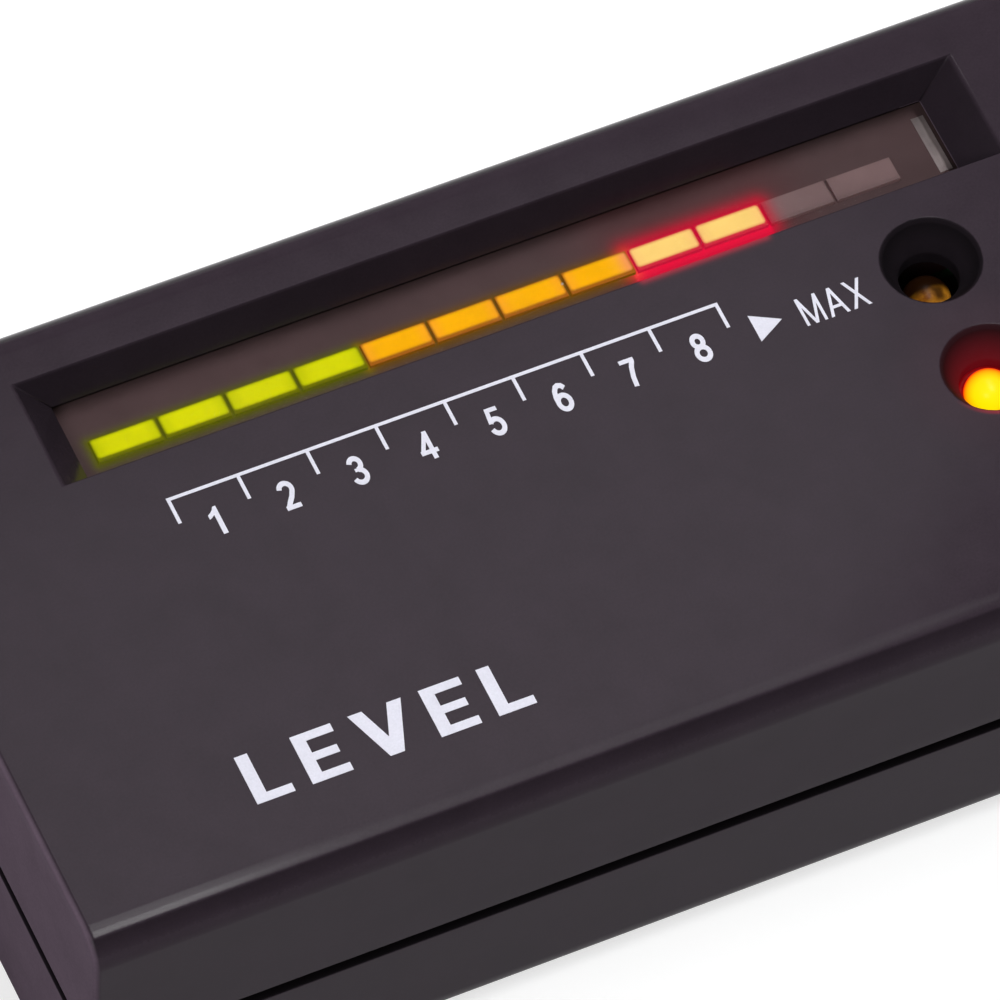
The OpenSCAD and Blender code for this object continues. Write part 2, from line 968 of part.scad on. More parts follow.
function unit(v) = v / norm(v);
function last(list) = len(list) - 1;
function heading(path, i) = unit(path[min(i + 1, last(path))] - path[max(i - 1, 0)]);

// A round wire swept along a path that never points along Y
module wire(path, r) {
    rings = len(path);
    points = [
        for (i = [0:rings - 1])
            let (up = unit(cross(heading(path, i), [0, 1, 0])), side = cross(heading(path, i), up))
                for (k = [0:wire_sides - 1])
                    path[i] + r * (cos(k * 360 / wire_sides) * up + sin(k * 360 / wire_sides) * side)
    ];
    ring_solid(points, wire_sides);
}

// A lead from the battery snap that turns down on to the board in a quarter circle
function lead_path(y) = [
    [snap_x1, y, lead_z],
    [(snap_x1 + lead_drop_x - lead_bend_r) / 2, y, lead_z],
    for (turn = [0:30:90])
        [
            lead_drop_x - lead_bend_r * (1 - sin(turn)),
            y,
            lead_z - lead_bend_r * (1 - cos(turn))
        ],
    [lead_drop_x, y, board_top]
];

module battery_lead_red() {
    color([0.75, 0.08, 0.06])
        place()
            wire(lead_path(red_lead_y), lead_r);
}

module battery_lead_black() {
    color(dark_color)
        place()
            wire(lead_path(black_lead_y), lead_r);
}

module foam_pad() {
    pad_l = battery_l * pad_share;
    pad_w = battery_w * pad_share;
    color([0.3, 0.3, 0.3])
        place()
            translate([battery_x + (battery_l - pad_l) / 2, battery_y - pad_w / 2, battery_top])
                cube([pad_l, pad_w, ceiling_z - battery_top]);
}

// A screw that points up, with its head below z = 0 and a cross slot in the head
module screw(head_r, head_t, shank_r, shank_l) {
    difference() {
        union() {
            translate([0, 0, -head_t])
                cylinder(h = head_t, r = head_r);
            translate([0, 0, -join])
                cylinder(h = shank_l + join, r = shank_r);
        }
        for (turn = [0, 90])
            rotate([0, 0, turn])
                translate([-slot_reach * head_r, -slot_w / 2, -head_t - over])
                    cube([2 * slot_reach * head_r, slot_w, slot_depth + over]);
    }
}

module case_screws() {
    color(steel_color)
        place()
            for (at = case_screw_at)
                translate([at[0], at[1], base_at(at[0]) + case_seat])
                    screw(case_head_r, case_head_t, case_shank_r, case_shank_l);
}

module board_screws() {
    color(steel_color)
        place()
            for (at = board_screw_at)
                translate([at[0], at[1], board_z])
                    screw(board_head_r, board_head_t, board_shank_r, board_t + board_shank_l - over);
}

// A chip with two rows of legs along X
module chip(pins) {
    body_l = pins * pin_pitch;
    union() {
        translate([-body_l / 2, -chip_w / 2, chip_lift])
            cube([body_l, chip_w, chip_h]);
        for (i = [0:pins - 1])
            for (side = [-1, 1])
                translate([(i + 0.5) * pin_pitch - body_l / 2, side * (chip_w + pin_row) / 4, 0]) {
                    translate([-pin_w / 2, -(pin_row - chip_w) / 4 - pin_w / 2, chip_lift + chip_h / 2 - pin_w])
                        cube([pin_w, (pin_row - chip_w) / 2 + pin_w, pin_w]);
                    translate([-pin_w / 2, side * (pin_row - chip_w) / 4 - pin_w / 2, 0])
                        cube([pin_w, pin_w, chip_lift + chip_h / 2]);
                }
    }
}

module driver_chip() {
    color(dark_color)
        place()
            translate([driver_at[0], driver_at[1], board_z])
                rotate([180, 0, 90])
                    chip(driver_pins);
}

module amplifier_chip() {
    color(dark_color)
        place()
            translate([amplifier_at[0], amplifier_at[1], board_z])
                rotate([180, 0, 0])
                    chip(amplifier_pins);
}

module capacitor() {
    color([0.12, 0.16, 0.3])
        place()
            translate([capacitor_at[0], capacitor_at[1], board_top])
                union() {
                    cylinder(h = capacitor_foot, r = capacitor_r);
                    cylinder(h = capacitor_foot + 2 * capacitor_groove, r = capacitor_r - capacitor_waist);
                    translate([0, 0, capacitor_foot + capacitor_groove])
                        cylinder(h = capacitor_h - capacitor_foot - capacitor_groove, r = capacitor_r);
                }
}

module trimmer() {
    color([0.15, 0.3, 0.6])
        place()
            translate([trimmer_at[0], trimmer_at[1], board_top])
                difference() {
                    union() {
                        translate([-trimmer_w / 2, -trimmer_w / 2, 0])
                            cube([trimmer_w, trimmer_w, trimmer_h]);
                        cylinder(h = trimmer_h + trimmer_knob_h, r = trimmer_knob_r);
                    }
                    translate([-trimmer_knob_r, -slot_w / 2, trimmer_h])
                        cube([2 * trimmer_knob_r, slot_w, over]);
                }
}

module probe_socket() {
    color(white_color)
        place()
            translate([socket_at[0], socket_at[1], board_top])
                difference() {
                    translate([-socket_w / 2, -socket_l / 2, 0])
                        cube([socket_w, socket_l, socket_h]);
                    translate([socket_wall - socket_w / 2, socket_wall - socket_l / 2, socket_h - socket_depth])
                        cube([socket_w - 2 * socket_wall, socket_l - 2 * socket_wall, socket_depth + over]);
                }
}

// Rises smoothly from 0 to 1
function ease(t) = t * t * (3 - 2 * t);
// A probe wire from the socket to the rear of the sleeve; side is 1 for far and -1 for near
function probe_path(side) = [
    for (i = [0:probe_wire_steps])
        let (
            t = i / probe_wire_steps,
            x0 = socket_at[0] + socket_w / 2,
            y0 = socket_at[1] + side * socket_wire_y
        )
            [
                x0 + (sleeve_x0 - x0) * t,
                y0 + (side * probe_wire_y - y0) * ease(t),
                socket_wire_z + (split_z - socket_wire_z) * ease(t)
            ]
];

module probe_wire_far() {
    color([0.75, 0.08, 0.06])
        place()
            wire(probe_path(1), probe_wire_r);
}

module probe_wire_near() {
    color(white_color)
        place()
            wire(probe_path(-1), probe_wire_r);
}

top_case();
bottom_case();
battery_door();
window_pane();
nose_cone();
probe_sleeve();
sleeve_plug();
tip_bush();
probe_tip();
probe_heater();
probe_spring();
contact_strip_far();
contact_strip_near();
thumbwheel();
wheel_control();
wheel_clip();
main_board();
bar_housing();
green_bars();
amber_bars();
red_bars();
unlit_bars();
ready_lamp();
power_lamp();
lamp_spacers();
buzzer();
battery();
battery_snap();
battery_lead_red();
battery_lead_black();
foam_pad();
case_screws();
board_screws();
driver_chip();
amplifier_chip();
capacitor();
trimmer();
probe_socket();
probe_wire_far();
probe_wire_near();
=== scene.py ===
"""Looks of a handheld gem tester: finishes for its solids, the printed scale and the stage."""

import math

import bmesh
import bpy
from mathutils import Matrix, Vector, geometry


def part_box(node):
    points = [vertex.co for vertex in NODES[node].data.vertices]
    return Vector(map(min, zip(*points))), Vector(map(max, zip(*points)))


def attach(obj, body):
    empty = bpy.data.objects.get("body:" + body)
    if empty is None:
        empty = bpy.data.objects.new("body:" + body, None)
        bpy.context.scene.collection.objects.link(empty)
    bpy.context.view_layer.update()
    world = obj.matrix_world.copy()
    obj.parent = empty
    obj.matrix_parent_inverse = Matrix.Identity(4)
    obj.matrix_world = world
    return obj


bl_info = {
    "name": "Gem Tester Looks",
    "version": (1, 0, 0),
    "blender": (4, 5, 0),
    "location": "3D View > Sidebar > Gem Tester",
    "description": "Finishes, printed scale and stage for a handheld gem tester",
    "category": "Object",
}

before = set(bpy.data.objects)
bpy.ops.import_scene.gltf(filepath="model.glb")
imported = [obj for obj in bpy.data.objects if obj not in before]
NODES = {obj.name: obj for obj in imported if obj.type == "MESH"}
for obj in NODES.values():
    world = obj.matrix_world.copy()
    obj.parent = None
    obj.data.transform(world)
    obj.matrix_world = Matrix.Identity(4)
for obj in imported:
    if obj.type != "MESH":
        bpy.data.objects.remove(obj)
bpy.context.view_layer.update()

MM = 0.001
CASE_LOW, CASE_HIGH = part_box("top_case")
BUTT_X = CASE_LOW.x
FACE_Z = CASE_HIGH.z
BAR_LOW, BAR_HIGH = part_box("green_bars")
BAR_PITCH = 5 * MM
# near edge of the window, and the groove between the case halves
RIM_Y = 10.35 * MM
GROOVE_Z = 11.9 * MM
GROOVE_HALF = 0.55 * MM
# round end of a lamp, and the mouth of the well that it stands in
BULB_R = 1.75 * MM
WELL_R = 3.6 * MM
# range that most of a noise value lies in
NOISE_LOW, NOISE_HIGH = 0.3, 0.7
# edges that turn more than this are kept sharp or rounded
SHARP_ANGLE = math.radians(32)


# Settings that a user would change

def colour(name, description, default):
    """A colour setting."""
    return bpy.props.FloatVectorProperty(
        name=name, description=description, default=default, size=3, min=0, max=4, subtype="COLOR"
    )


def distance(name, description, default):
    """A length setting."""
    return bpy.props.FloatProperty(
        name=name, description=description, default=default, min=0, unit="LENGTH", subtype="DISTANCE"
    )


def power(name, description, default):
    """A light power setting."""
    return bpy.props.FloatProperty(
        name=name, description=description, default=default, min=0, unit="POWER"
    )


def share(name, description, default):
    """A setting between nothing and all."""
    return bpy.props.FloatProperty(
        name=name, description=description, default=default, min=0, max=1, subtype="FACTOR"
    )


class TesterFinish(bpy.types.PropertyGroup):
    """Colours of the tester."""

    case: colour("Case", "Moulded plastic of the case", (0.034, 0.0245, 0.0331))
    nose: colour("Nose", "Plastic of the nose cone and the thumbwheel", (0.0195, 0.0178, 0.0195))
    pane: colour("Pane", "Tint of the smoked window pane", (0.012, 0.008, 0.006))
    housing: colour("Housing", "Plastic round the display bars", (0.126, 0.077, 0.081))
    print_ink: colour("Print", "Ink of the printed scale", (0.73, 0.725, 0.82))
    green: colour("Green bars", "Light of the green bars", (0.9, 0.92, 0.0))
    amber: colour("Amber bars", "Light of the amber bars", (1.32, 0.61, 0.0))
    red: colour("Red bars", "Light in the middle of the red bars", (1.34, 0.88, 0.25))
    halo: colour("Red halo", "Light round the red bars", (0.9, 0.0, 0.045))
    unlit: colour("Unlit bars", "Lens of the unlit bars", (0.316, 0.196, 0.2))
    steel: colour("Steel", "Bare steel", (0.6, 0.59, 0.58))
    copper: colour("Copper", "Probe tip", (0.72, 0.4, 0.24))


class TesterPrint(bpy.types.PropertyGroup):
    """Sizes of the print on the top face, measured from the butt end and the middle line."""

    line_width: distance("Line width", "Width of the printed lines", 0.25 * MM)
    ink_height: distance("Ink height", "Thickness of the ink on the face", 0.02 * MM)
    scale_start: distance("Scale start", "Butt end to the first tick", 18.476 * MM)
    scale_step: distance("Scale step", "Distance between ticks", 5.041 * MM)
    scale_y: distance("Scale line", "Middle line to the scale line", 6.586 * MM)
    tick_length: distance("Tick length", "Length of a tick below the scale line", 2.04 * MM)
    digit_height: distance("Digit height", "Height of the numbers", 2.3 * MM)
    digit_start: distance("Digit start", "Butt end to the middle of the first number", 20.95 * MM)
    digit_step: distance("Digit step", "Distance between numbers", 5.06 * MM)
    digit_y: distance("Digit line", "Middle line to the middle of the numbers", 3.78 * MM)
    pointer_x: distance("Pointer start", "Butt end to the foot of the pointer", 60.37 * MM)
    pointer_y: distance("Pointer line", "Middle line to the middle of the pointer", 3.77 * MM)
    pointer_length: distance("Pointer length", "Length of the pointer", 2.04 * MM)
    pointer_width: distance("Pointer width", "Width of the pointer at its foot", 2.26 * MM)
    label_height: distance("Label height", "Height of the short label", 2.3 * MM)
    label_x: distance("Label place", "Butt end to the middle of the short label", 66.2 * MM)
    label_y: distance("Label line", "Middle line to the middle of the short label", 3.7 * MM)
    word_height: distance("Word height", "Height of the large word", 3.9 * MM)
    word_x: distance("Word place", "Butt end to the middle of the large word", 24.4 * MM)
    word_y: distance("Word line", "Middle line to the large word, on the near side", 15.65 * MM)


class TesterStage(bpy.types.PropertyGroup):
    """Floor and lights."""

    floor: colour("Floor", "Pale floor", (0.5, 0.5, 0.5))
    floor_white: share("Floor white", "White that the floor adds where it is seen", 0.62)
    sky: bpy.props.FloatProperty(
        name="Sky", description="Strength of the soft light from above and behind", default=0.22, min=0
    )
    panel: power("Panel light", "Power of the soft panel over the case", 0.72)
    edge: power("Edge light", "Power of the strip that draws the near edge", 0.122)
    glint: power("Glint light", "Power of the small lamp over the near corner", 0.27)
    shoulder: power("Shoulder light", "Power of the dimmer lamp beside the glint", 0.108)
    key: power("Key light", "Power of the soft light at the butt end", 1.06)
    fill: power("Fill lights", "Power of each low light behind and past the tip", 1.7)


# Node building

def feed(tree, value, socket):
    """Link an output to a socket, or set the socket to a plain value."""
    if isinstance(value, bpy.types.NodeSocket):
        tree.links.new(value, socket)
    else:
        socket.default_value = value


def add_node(tree, kind, values=None, **settings):
    """A new node: settings are its own attributes, values its inputs by name or number."""
    made = tree.nodes.new(kind)
    for key, value in settings.items():
        setattr(made, key, value)
    for key, value in (values or {}).items():
        feed(tree, value, made.inputs[key])
    return made


def calc(tree, operation, *values, clamp=False):
    """Output of a Math node."""
    made = add_node(
        tree, "ShaderNodeMath", dict(enumerate(values)), operation=operation, use_clamp=clamp
    )
    return made.outputs[0]


def product(tree, first, second):
    """Two values multiplied."""
    return calc(tree, "MULTIPLY", first, second)


def vector_calc(tree, operation, *values):
    """Output of a Vector Math node."""
    made = add_node(tree, "ShaderNodeVectorMath", dict(enumerate(values)), operation=operation)
    return made.outputs["Value" if operation in ("LENGTH", "DOT_PRODUCT") else "Vector"]


def tint(tree, value, factor):
    """A colour or vector times a number."""
    made = add_node(tree, "ShaderNodeVectorMath", {0: value, "Scale": factor}, operation="SCALE")
    return made.outputs["Vector"]


def mixed(tree, share, first, second):
    """Two colours mixed by a share."""
    made = add_node(
        tree, "ShaderNodeMix", {0: share, 6: opaque(first), 7: opaque(second)}, data_type="RGBA"
    )
    return made.outputs[2]


def opaque(value):
    """A plain colour with its alpha, or a socket as it is."""
    return value if isinstance(value, bpy.types.NodeSocket) else (*value[:3], 1)


def scaled(plain, level):
    """A plain colour times a number."""
    return tuple(part * level for part in plain)


def remap(tree, value, low, high, to_low=0.0, to_high=1.0, soft=False):
    """A value moved from one range to another, and held there."""
    made = add_node(tree, "ShaderNodeMapRange", {
        "Value": value, "From Min": low, "From Max": high, "To Min": to_low, "To Max": to_high,
    }, interpolation_type="SMOOTHSTEP" if soft else "LINEAR")
    return made.outputs["Result"]


def vary(tree, value, low, high):
    """A noise value spread over a range."""
    return remap(tree, value, NOISE_LOW, NOISE_HIGH, low, high)


def dimmed(tree, value, mask, level):
    """A value that falls to a share of itself where a mask is full."""
    return product(tree, value, remap(tree, mask, 0.0, 1.0, 1.0, level))


def place_of(tree):
    """Position on the piece, in metres in the shared frame."""
    return tree.nodes.new("ShaderNodeTexCoord").outputs["Object"]


def parts_of(tree, vector):
    """X, Y and Z of a vector."""
    return add_node(tree, "ShaderNodeSeparateXYZ", {0: vector}).outputs


def noise(tree, vector, scale, detail=3.0, roughness=0.55):
    """Value of a Noise Texture."""
    made = add_node(tree, "ShaderNodeTexNoise", {
        "Vector": vector, "Scale": scale, "Detail": detail, "Roughness": roughness,
    })
    return made.outputs[0]


# Shared node groups

def start_group(name, inputs, outputs):
    """A new shader node group with its sockets, and its input and output nodes."""
    tree = bpy.data.node_groups.new(name, "ShaderNodeTree")
    for label, kind, value in inputs:
        made = tree.interface.new_socket(label, in_out="INPUT", socket_type=kind)
        made.default_value = value
    for label in outputs:
        tree.interface.new_socket(label, in_out="OUTPUT", socket_type="NodeSocketFloat")
    return tree, tree.nodes.new("NodeGroupInput").outputs, tree.nodes.new("NodeGroupOutput").inputs


def grain_group():
    """Fine moulded grain and slow blotches."""
    tree, given, result = start_group(
        "Moulded Grain",
        [("Grain Scale", "NodeSocketFloat", 5000.0), ("Blotch Scale", "NodeSocketFloat", 60.0)],
        ["Grain", "Blotch"],
    )
    place = place_of(tree)
    feed(tree, noise(tree, place, given["Grain Scale"], 2.0), result["Grain"])
    feed(tree, noise(tree, place, given["Blotch Scale"], 4.0, 0.6), result["Blotch"])


def edge_group():
    """Mask of the outer and inner edges, where handling polishes a surface."""
    tree, given, result = start_group(
        "Edge Polish", [("Radius", "NodeSocketFloat", 0.0003)], ["Edge"]
    )
    rounded = add_node(tree, "ShaderNodeBevel", {"Radius": given["Radius"]}, samples=4).outputs[0]
    flat = tree.nodes.new("ShaderNodeNewGeometry").outputs["Normal"]
    turn = vector_calc(tree, "DOT_PRODUCT", rounded, flat)
    feed(tree, remap(tree, turn, 0.7, 0.99, 1.0, 0.0), result["Edge"])


def glow_group():
    """Light that falls off round a box."""
    tree, given, result = start_group(
        "Glow Patch",
        [
            ("Centre", "NodeSocketVector", (0, 0, 0)),
            ("Half Size", "NodeSocketVector", (0, 0, 1)),
            ("Reach", "NodeSocketFloat", 0.001),
        ],
        ["Glow"],
    )
    away = vector_calc(tree, "SUBTRACT", place_of(tree), given["Centre"])
    away = vector_calc(tree, "SUBTRACT", vector_calc(tree, "ABSOLUTE", away), given["Half Size"])
    away = vector_calc(tree, "LENGTH", vector_calc(tree, "MAXIMUM", away, (0, 0, 0)))
    steps = calc(tree, "DIVIDE", away, given["Reach"])
    fall = product(tree, product(tree, steps, steps), -1.0)
    feed(tree, calc(tree, "EXPONENT", fall), result["Glow"])


def bar_group():
    """Place within one bar of the display: towards its ends, and towards its outline."""
    tree, given, result = start_group(
        "Bar Face",
        [
            ("Start", "NodeSocketFloat", 0.0), ("Pitch", "NodeSocketFloat", BAR_PITCH),
            ("Middle", "NodeSocketFloat", 0.0), ("Half Size", "NodeSocketVector", (0, 0, 0)),
            ("Soft", "NodeSocketFloat", 0.3 * MM),
        ],
        ["Rim", "Edge"],
    )
    x, y, _ = parts_of(tree, place_of(tree))
    along = calc(tree, "DIVIDE", calc(tree, "SUBTRACT", x, given["Start"]), given["Pitch"])
    along = calc(tree, "SUBTRACT", calc(tree, "FRACT", along), 0.5)
    feed(tree, remap(tree, calc(tree, "ABSOLUTE", along), 0.28, 0.47), result["Rim"])
    away = add_node(tree, "ShaderNodeCombineXYZ", {
        0: product(tree, along, given["Pitch"]), 1: calc(tree, "SUBTRACT", y, given["Middle"]),
    }).outputs[0]
    away = vector_calc(tree, "SUBTRACT", vector_calc(tree, "ABSOLUTE", away), given["Half Size"])
    away = vector_calc(tree, "ADD", away, given["Soft"])
    away = vector_calc(tree, "LENGTH", vector_calc(tree, "MAXIMUM", away, (0, 0, 0)))
    feed(tree, calc(tree, "DIVIDE", away, given["Soft"], clamp=True), result["Edge"])


def brush_group():
    """Fine lines drawn out along one direction."""
    tree, given, result = start_group(
        "Brushed Lines",
        [("Stretch", "NodeSocketVector", (1, 1, 1)), ("Blotch Scale", "NodeSocketFloat", 80.0)],
        ["Lines", "Blotch"],
    )
    place = place_of(tree)
    drawn = vector_calc(tree, "MULTIPLY", place, given["Stretch"])
    feed(tree, noise(tree, drawn, 1.0, 4.0, 0.7), result["Lines"])
    feed(tree, noise(tree, place, given["Blotch Scale"], 4.0), result["Blotch"])


def dust_group():
    """Small scattered specks."""
    tree, given, result = start_group(
        "Dust Specks",
        [("Scale", "NodeSocketFloat", 400.0), ("Size", "NodeSocketFloat", 0.06)],
        ["Speck"],
    )
    cells = add_node(
        tree, "ShaderNodeTexVoronoi", {"Vector": place_of(tree), "Scale": given["Scale"]}
    )
    share = parts_of(tree, cells.outputs["Color"])[0]
    size = product(tree, given["Size"], remap(tree, share, 0.6, 1.0))
    feed(tree, calc(tree, "LESS_THAN", cells.outputs["Distance"], size), result["Speck"])


def use_group(tree, name, **values):
    """A placed node group; underscores in the names stand for spaces."""
    made = tree.nodes.new("ShaderNodeGroup")
    made.node_tree = bpy.data.node_groups[name]
    for key, value in values.items():
        feed(tree, value, made.inputs[key.replace("_", " ")])
    return made.outputs


def grain_of(tree, fine, slow):
    """Moulded grain with these scales of its grain and of its blotches."""
    return use_group(tree, "Moulded Grain", Grain_Scale=fine, Blotch_Scale=slow)


def glow_round(tree, centre, half, reach):
    """Light that falls off round a box with this middle and half size."""
    return use_group(tree, "Glow Patch", Centre=centre, Half_Size=half, Reach=reach)["Glow"]


# Finishes

def new_finish(name, **constants):
    """A material with only a Principled shader and its output."""
    material = bpy.data.materials.new(name)
    material.use_nodes = True
    tree = material.node_tree
    tree.nodes.clear()
    shader = tree.nodes.new("ShaderNodeBsdfPrincipled")
    output = tree.nodes.new("ShaderNodeOutputMaterial")
    tree.links.new(shader.outputs[0], output.inputs[0])
    for key, value in constants.items():
        shader.inputs[key.replace("_", " ")].default_value = value
    return material, tree, shader.inputs


def raise_bumps(tree, sockets, height, strength, depth):
    """Bump the surface by a height."""
    made = add_node(
        tree, "ShaderNodeBump", {"Strength": strength, "Distance": depth, "Height": height}
    )
    feed(tree, made.outputs[0], sockets["Normal"])


def moulded_plastic(name, base, roughness, grain_scale=5200.0, gloss=0.25):
    """Fine-grained moulded plastic."""
    material, tree, sockets = new_finish(name, IOR=1.46, Specular_IOR_Level=gloss)
    grain = grain_of(tree, fine=grain_scale, slow=240.0)
    tone = vary(tree, grain["Blotch"], 0.92, 1.08)
    tone = product(tree, tone, vary(tree, grain["Grain"], 0.94, 1.06))
    feed(tree, tint(tree, base, tone), sockets["Base Color"])
    rough = vary(tree, grain["Grain"], roughness - 0.03, roughness + 0.03)
    rough = calc(tree, "MULTIPLY_ADD", grain["Blotch"], 0.05, rough)
    feed(tree, rough, sockets["Roughness"])
    raise_bumps(tree, sockets, grain["Grain"], 0.2, 0.012 * MM)
    return material, tree, sockets, rough


def case_plastic(finish):
    """Charcoal case plastic: satin sides, a rough butt end painted paler, painted shade in its hollows,
    groove and edge band, a painted highlight at the window's foot, and light on them.
    """
    material, tree, sockets, rough = moulded_plastic(
        "case plastic", tuple(finish.case), 0.1, gloss=0.071
    )
    x, _, height = parts_of(tree, place_of(tree))
    # the butt end is rough, and painted paler, standing in for more light on it
    butt_end = remap(tree, x, BUTT_X + 0.1 * MM, BUTT_X + 0.4 * MM, 1.0, 0.0)
    pale = calc(tree, "MULTIPLY_ADD", butt_end, 3.1, 1.0)
    dull = product(tree, butt_end, 0.7)
    # painted shade darkens the walls of the window
    low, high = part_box("window_pane")
    middle, half = (low + high) / 2, (high - low) / 2
    deep = FACE_Z - 0.3 * MM - low.z
    wall = glow_round(
        tree, (middle.x, middle.y, low.z), (half.x + 2 * MM, half.y + 2 * MM, deep), 0.14 * MM
    )
    pale = dimmed(tree, pale, wall, 0.6)
    # the sides are satin below the rounded edge
    satin = remap(tree, height, FACE_Z - 1.8 * MM, FACE_Z - 0.7 * MM, 0.3, 0.0)
    dull = calc(tree, "ADD", dull, dimmed(tree, satin, wall, 0.0))
    # painted shade darkens a band on the rounded edge, just below its highlight
    outside = calc(tree, "SUBTRACT", calc(tree, "SUBTRACT", 1.0, butt_end), wall, clamp=True)
    edge_band_shade = product(
        tree, remap(tree, height, FACE_Z - 1.4 * MM, FACE_Z - 0.4 * MM),
        remap(tree, height, FACE_Z - 0.36 * MM, FACE_Z - 0.26 * MM, 1.0, 0.0),
    )
    pale = dimmed(tree, pale, product(tree, edge_band_shade, outside), 0.55)
    # the groove between the halves is dull, and darkened with painted shade
    groove = calc(tree, "ABSOLUTE", calc(tree, "SUBTRACT", height, GROOVE_Z))
    groove = remap(tree, groove, GROOVE_HALF + 0.02 * MM, GROOVE_HALF + 0.08 * MM, 1.0, 0.0)
    pale = dimmed(tree, pale, groove, 0.12)
    dull = calc(tree, "MULTIPLY_ADD", groove, 0.4, dull)
    # a painted highlight runs as a pale line along the foot of the window's end wall
    foot = product(
        tree, remap(tree, height, high.z + 0.06 * MM, high.z + 0.12 * MM, 1.0, 0.0),
        remap(tree, x, high.x - 3 * MM, high.x - 2.9 * MM),
    )
    foot = product(tree, foot, wall)
    pale = product(tree, pale, calc(tree, "MULTIPLY_ADD", foot, 5.0, 1.0))
    # the wells are dull, and darkened with painted shade
    unlit, lit = well_of(tree, "ready_lamp", height), well_of(tree, "power_lamp", height)
    for well, _, _ in (unlit, lit):
        pale = dimmed(tree, pale, well, 0.3)
        dull = calc(tree, "MULTIPLY_ADD", well, 0.7, dull)
    feed(tree, calc(tree, "ADD", rough, dull), sockets["Roughness"])
    base = sockets["Base Color"].links[0].from_socket
    feed(tree, tint(tree, base, pale), sockets["Base Color"])
    light = vector_calc(tree, "ADD", lamp_light(tree, height, *lit), rim_light(tree, finish.halo))
    feed(tree, light, sockets["Emission Color"])
    sockets["Emission Strength"].default_value = 1.0
    return material


def well_of(tree, lamp, height):
    """Mask of a lamp's well, the distance from the lamp's axis, and the part of it along Y."""
    low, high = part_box(lamp)
    middle = (low + high) / 2
    away = vector_calc(tree, "SUBTRACT", place_of(tree), (middle.x, middle.y, 0))
    away = vector_calc(tree, "MULTIPLY", away, (1, 1, 0))
    side = parts_of(tree, away)[1]
    away = vector_calc(tree, "LENGTH", away)
    below = remap(tree, height, FACE_Z - 0.025 * MM, FACE_Z - 0.005 * MM, 1.0, 0.0)
    inside = remap(tree, away, WELL_R, WELL_R + 0.06 * MM, 1.0, 0.0)
    return product(tree, below, inside), away, side


def lamp_light(tree, height, well, away, side):
    """Red light of the lit lamp: inside its well, on the near lip and faintly on the face."""
    inner = product(tree, well, remap(tree, away, 1.9 * MM, WELL_R - 0.3 * MM, 0.12, 0.008))
    lip = calc(tree, "ABSOLUTE", calc(tree, "SUBTRACT", away, WELL_R + 0.02 * MM))
    lip = remap(tree, lip, 0.0, 0.3 * MM, 0.2, 0.0, soft=True)
    lip = product(tree, lip, remap(tree, side, -3.5 * MM, -1.5 * MM, 1.0, 0.0))
    spread = remap(tree, away, WELL_R - 0.2 * MM, 8 * MM, 0.005, 0.0, soft=True)
    above = remap(tree, height, FACE_Z - 8 * MM, FACE_Z - 3 * MM)
    level = calc(tree, "ADD", calc(tree, "ADD", inner, lip), spread)
    return tint(tree, (1.0, 0.003, 0.02), product(tree, level, above))


def rim_light(tree, halo):
    """Red light of the lit bars on the rim of the window beside them."""
    centre, half = run_of("red_bars")
    place = (centre[0] - 1.85 * MM, RIM_Y + 0.06 * MM, FACE_Z)
    glow = glow_round(tree, place, (half[0] - 0.35 * MM, 0, 0), 0.36 * MM)
    return tint(tree, scaled(halo, 0.4), glow)


def pane_plastic(finish):
    """Smoked clear plastic with a little dust."""
    material, tree, sockets = new_finish("smoked pane", IOR=1.49, Specular_IOR_Level=0.06)
    speck = use_group(tree, "Dust Specks", Scale=140.0, Size=0.05)["Speck"]
    smear = grain_of(tree, fine=900.0, slow=120.0)
    feed(tree, mixed(tree, speck, tuple(finish.pane), (0.42, 0.4, 0.39)), sockets["Base Color"])
    feed(tree, vary(tree, smear["Blotch"], 0.05, 0.14), sockets["Roughness"])
    feed(tree, remap(tree, speck, 0.0, 1.0, 0.15, 0.6), sockets["Alpha"])
    raise_bumps(tree, sockets, smear["Blotch"], 0.05, 0.05 * MM)
    return material


def run_of(node):
    """Middle and half size of a run of bars, as patches that ignore height."""
    low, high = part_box(node)
    middle, half = (low + high) / 2, (high - low) / 2
    return (middle.x, middle.y, 0), (half.x, half.y, 1)


def housing_plastic(finish):
    """Dull dark plastic round the bars, painted lighter towards the far wall against the shade there,
    with the light that they spill.
    """
    material, tree, sockets = new_finish(
        "housing plastic", Roughness=0.6, Specular_IOR_Level=0.08, Emission_Strength=1.0
    )
    grain = grain_of(tree, fine=4000.0, slow=150.0)
    base = tint(tree, tuple(finish.housing), vary(tree, grain["Blotch"], 0.9, 1.1))
    # painted light: lighter towards the far wall, against the shade that falls there
    far = remap(tree, parts_of(tree, place_of(tree))[1], 16.6 * MM, 18.8 * MM, 1.02, 1.25)
    base = tint(tree, base, far)
    # red light also reaches far round its bars, and fills a band before them
    centre, half = run_of("red_bars")
    band = (centre[0] - 0.1 * MM, centre[1] - half[1] - 0.8 * MM, 0)
    spills = (
        (*run_of("green_bars"), finish.green, 0.1, 0.46 * MM),
        (*run_of("amber_bars"), finish.amber, 0.1, 0.5 * MM),
        (centre, half, finish.halo, 0.035, 3.2 * MM),
        (centre, half, finish.halo, 0.76, 0.9 * MM),
        (band, (half[0] + 0.2 * MM, 0.8 * MM, 1), finish.halo, 0.42, 0.12 * MM),
    )
    light = None
    for middle, size, bar_colour, level, reach in spills:
        glow = glow_round(tree, middle, size, reach)
        spilled = tint(tree, scaled(bar_colour, level), glow)
        light = spilled if light is None else vector_calc(tree, "ADD", light, spilled)
        cover = product(tree, glow, 0.25) if reach > 1 * MM else glow
        base = mixed(tree, cover, base, scaled(bar_colour, 0.05))
    feed(tree, base, sockets["Base Color"])
    feed(tree, light, sockets["Emission Color"])
    raise_bumps(tree, sockets, grain["Grain"], 0.2, 0.02 * MM)
    return material


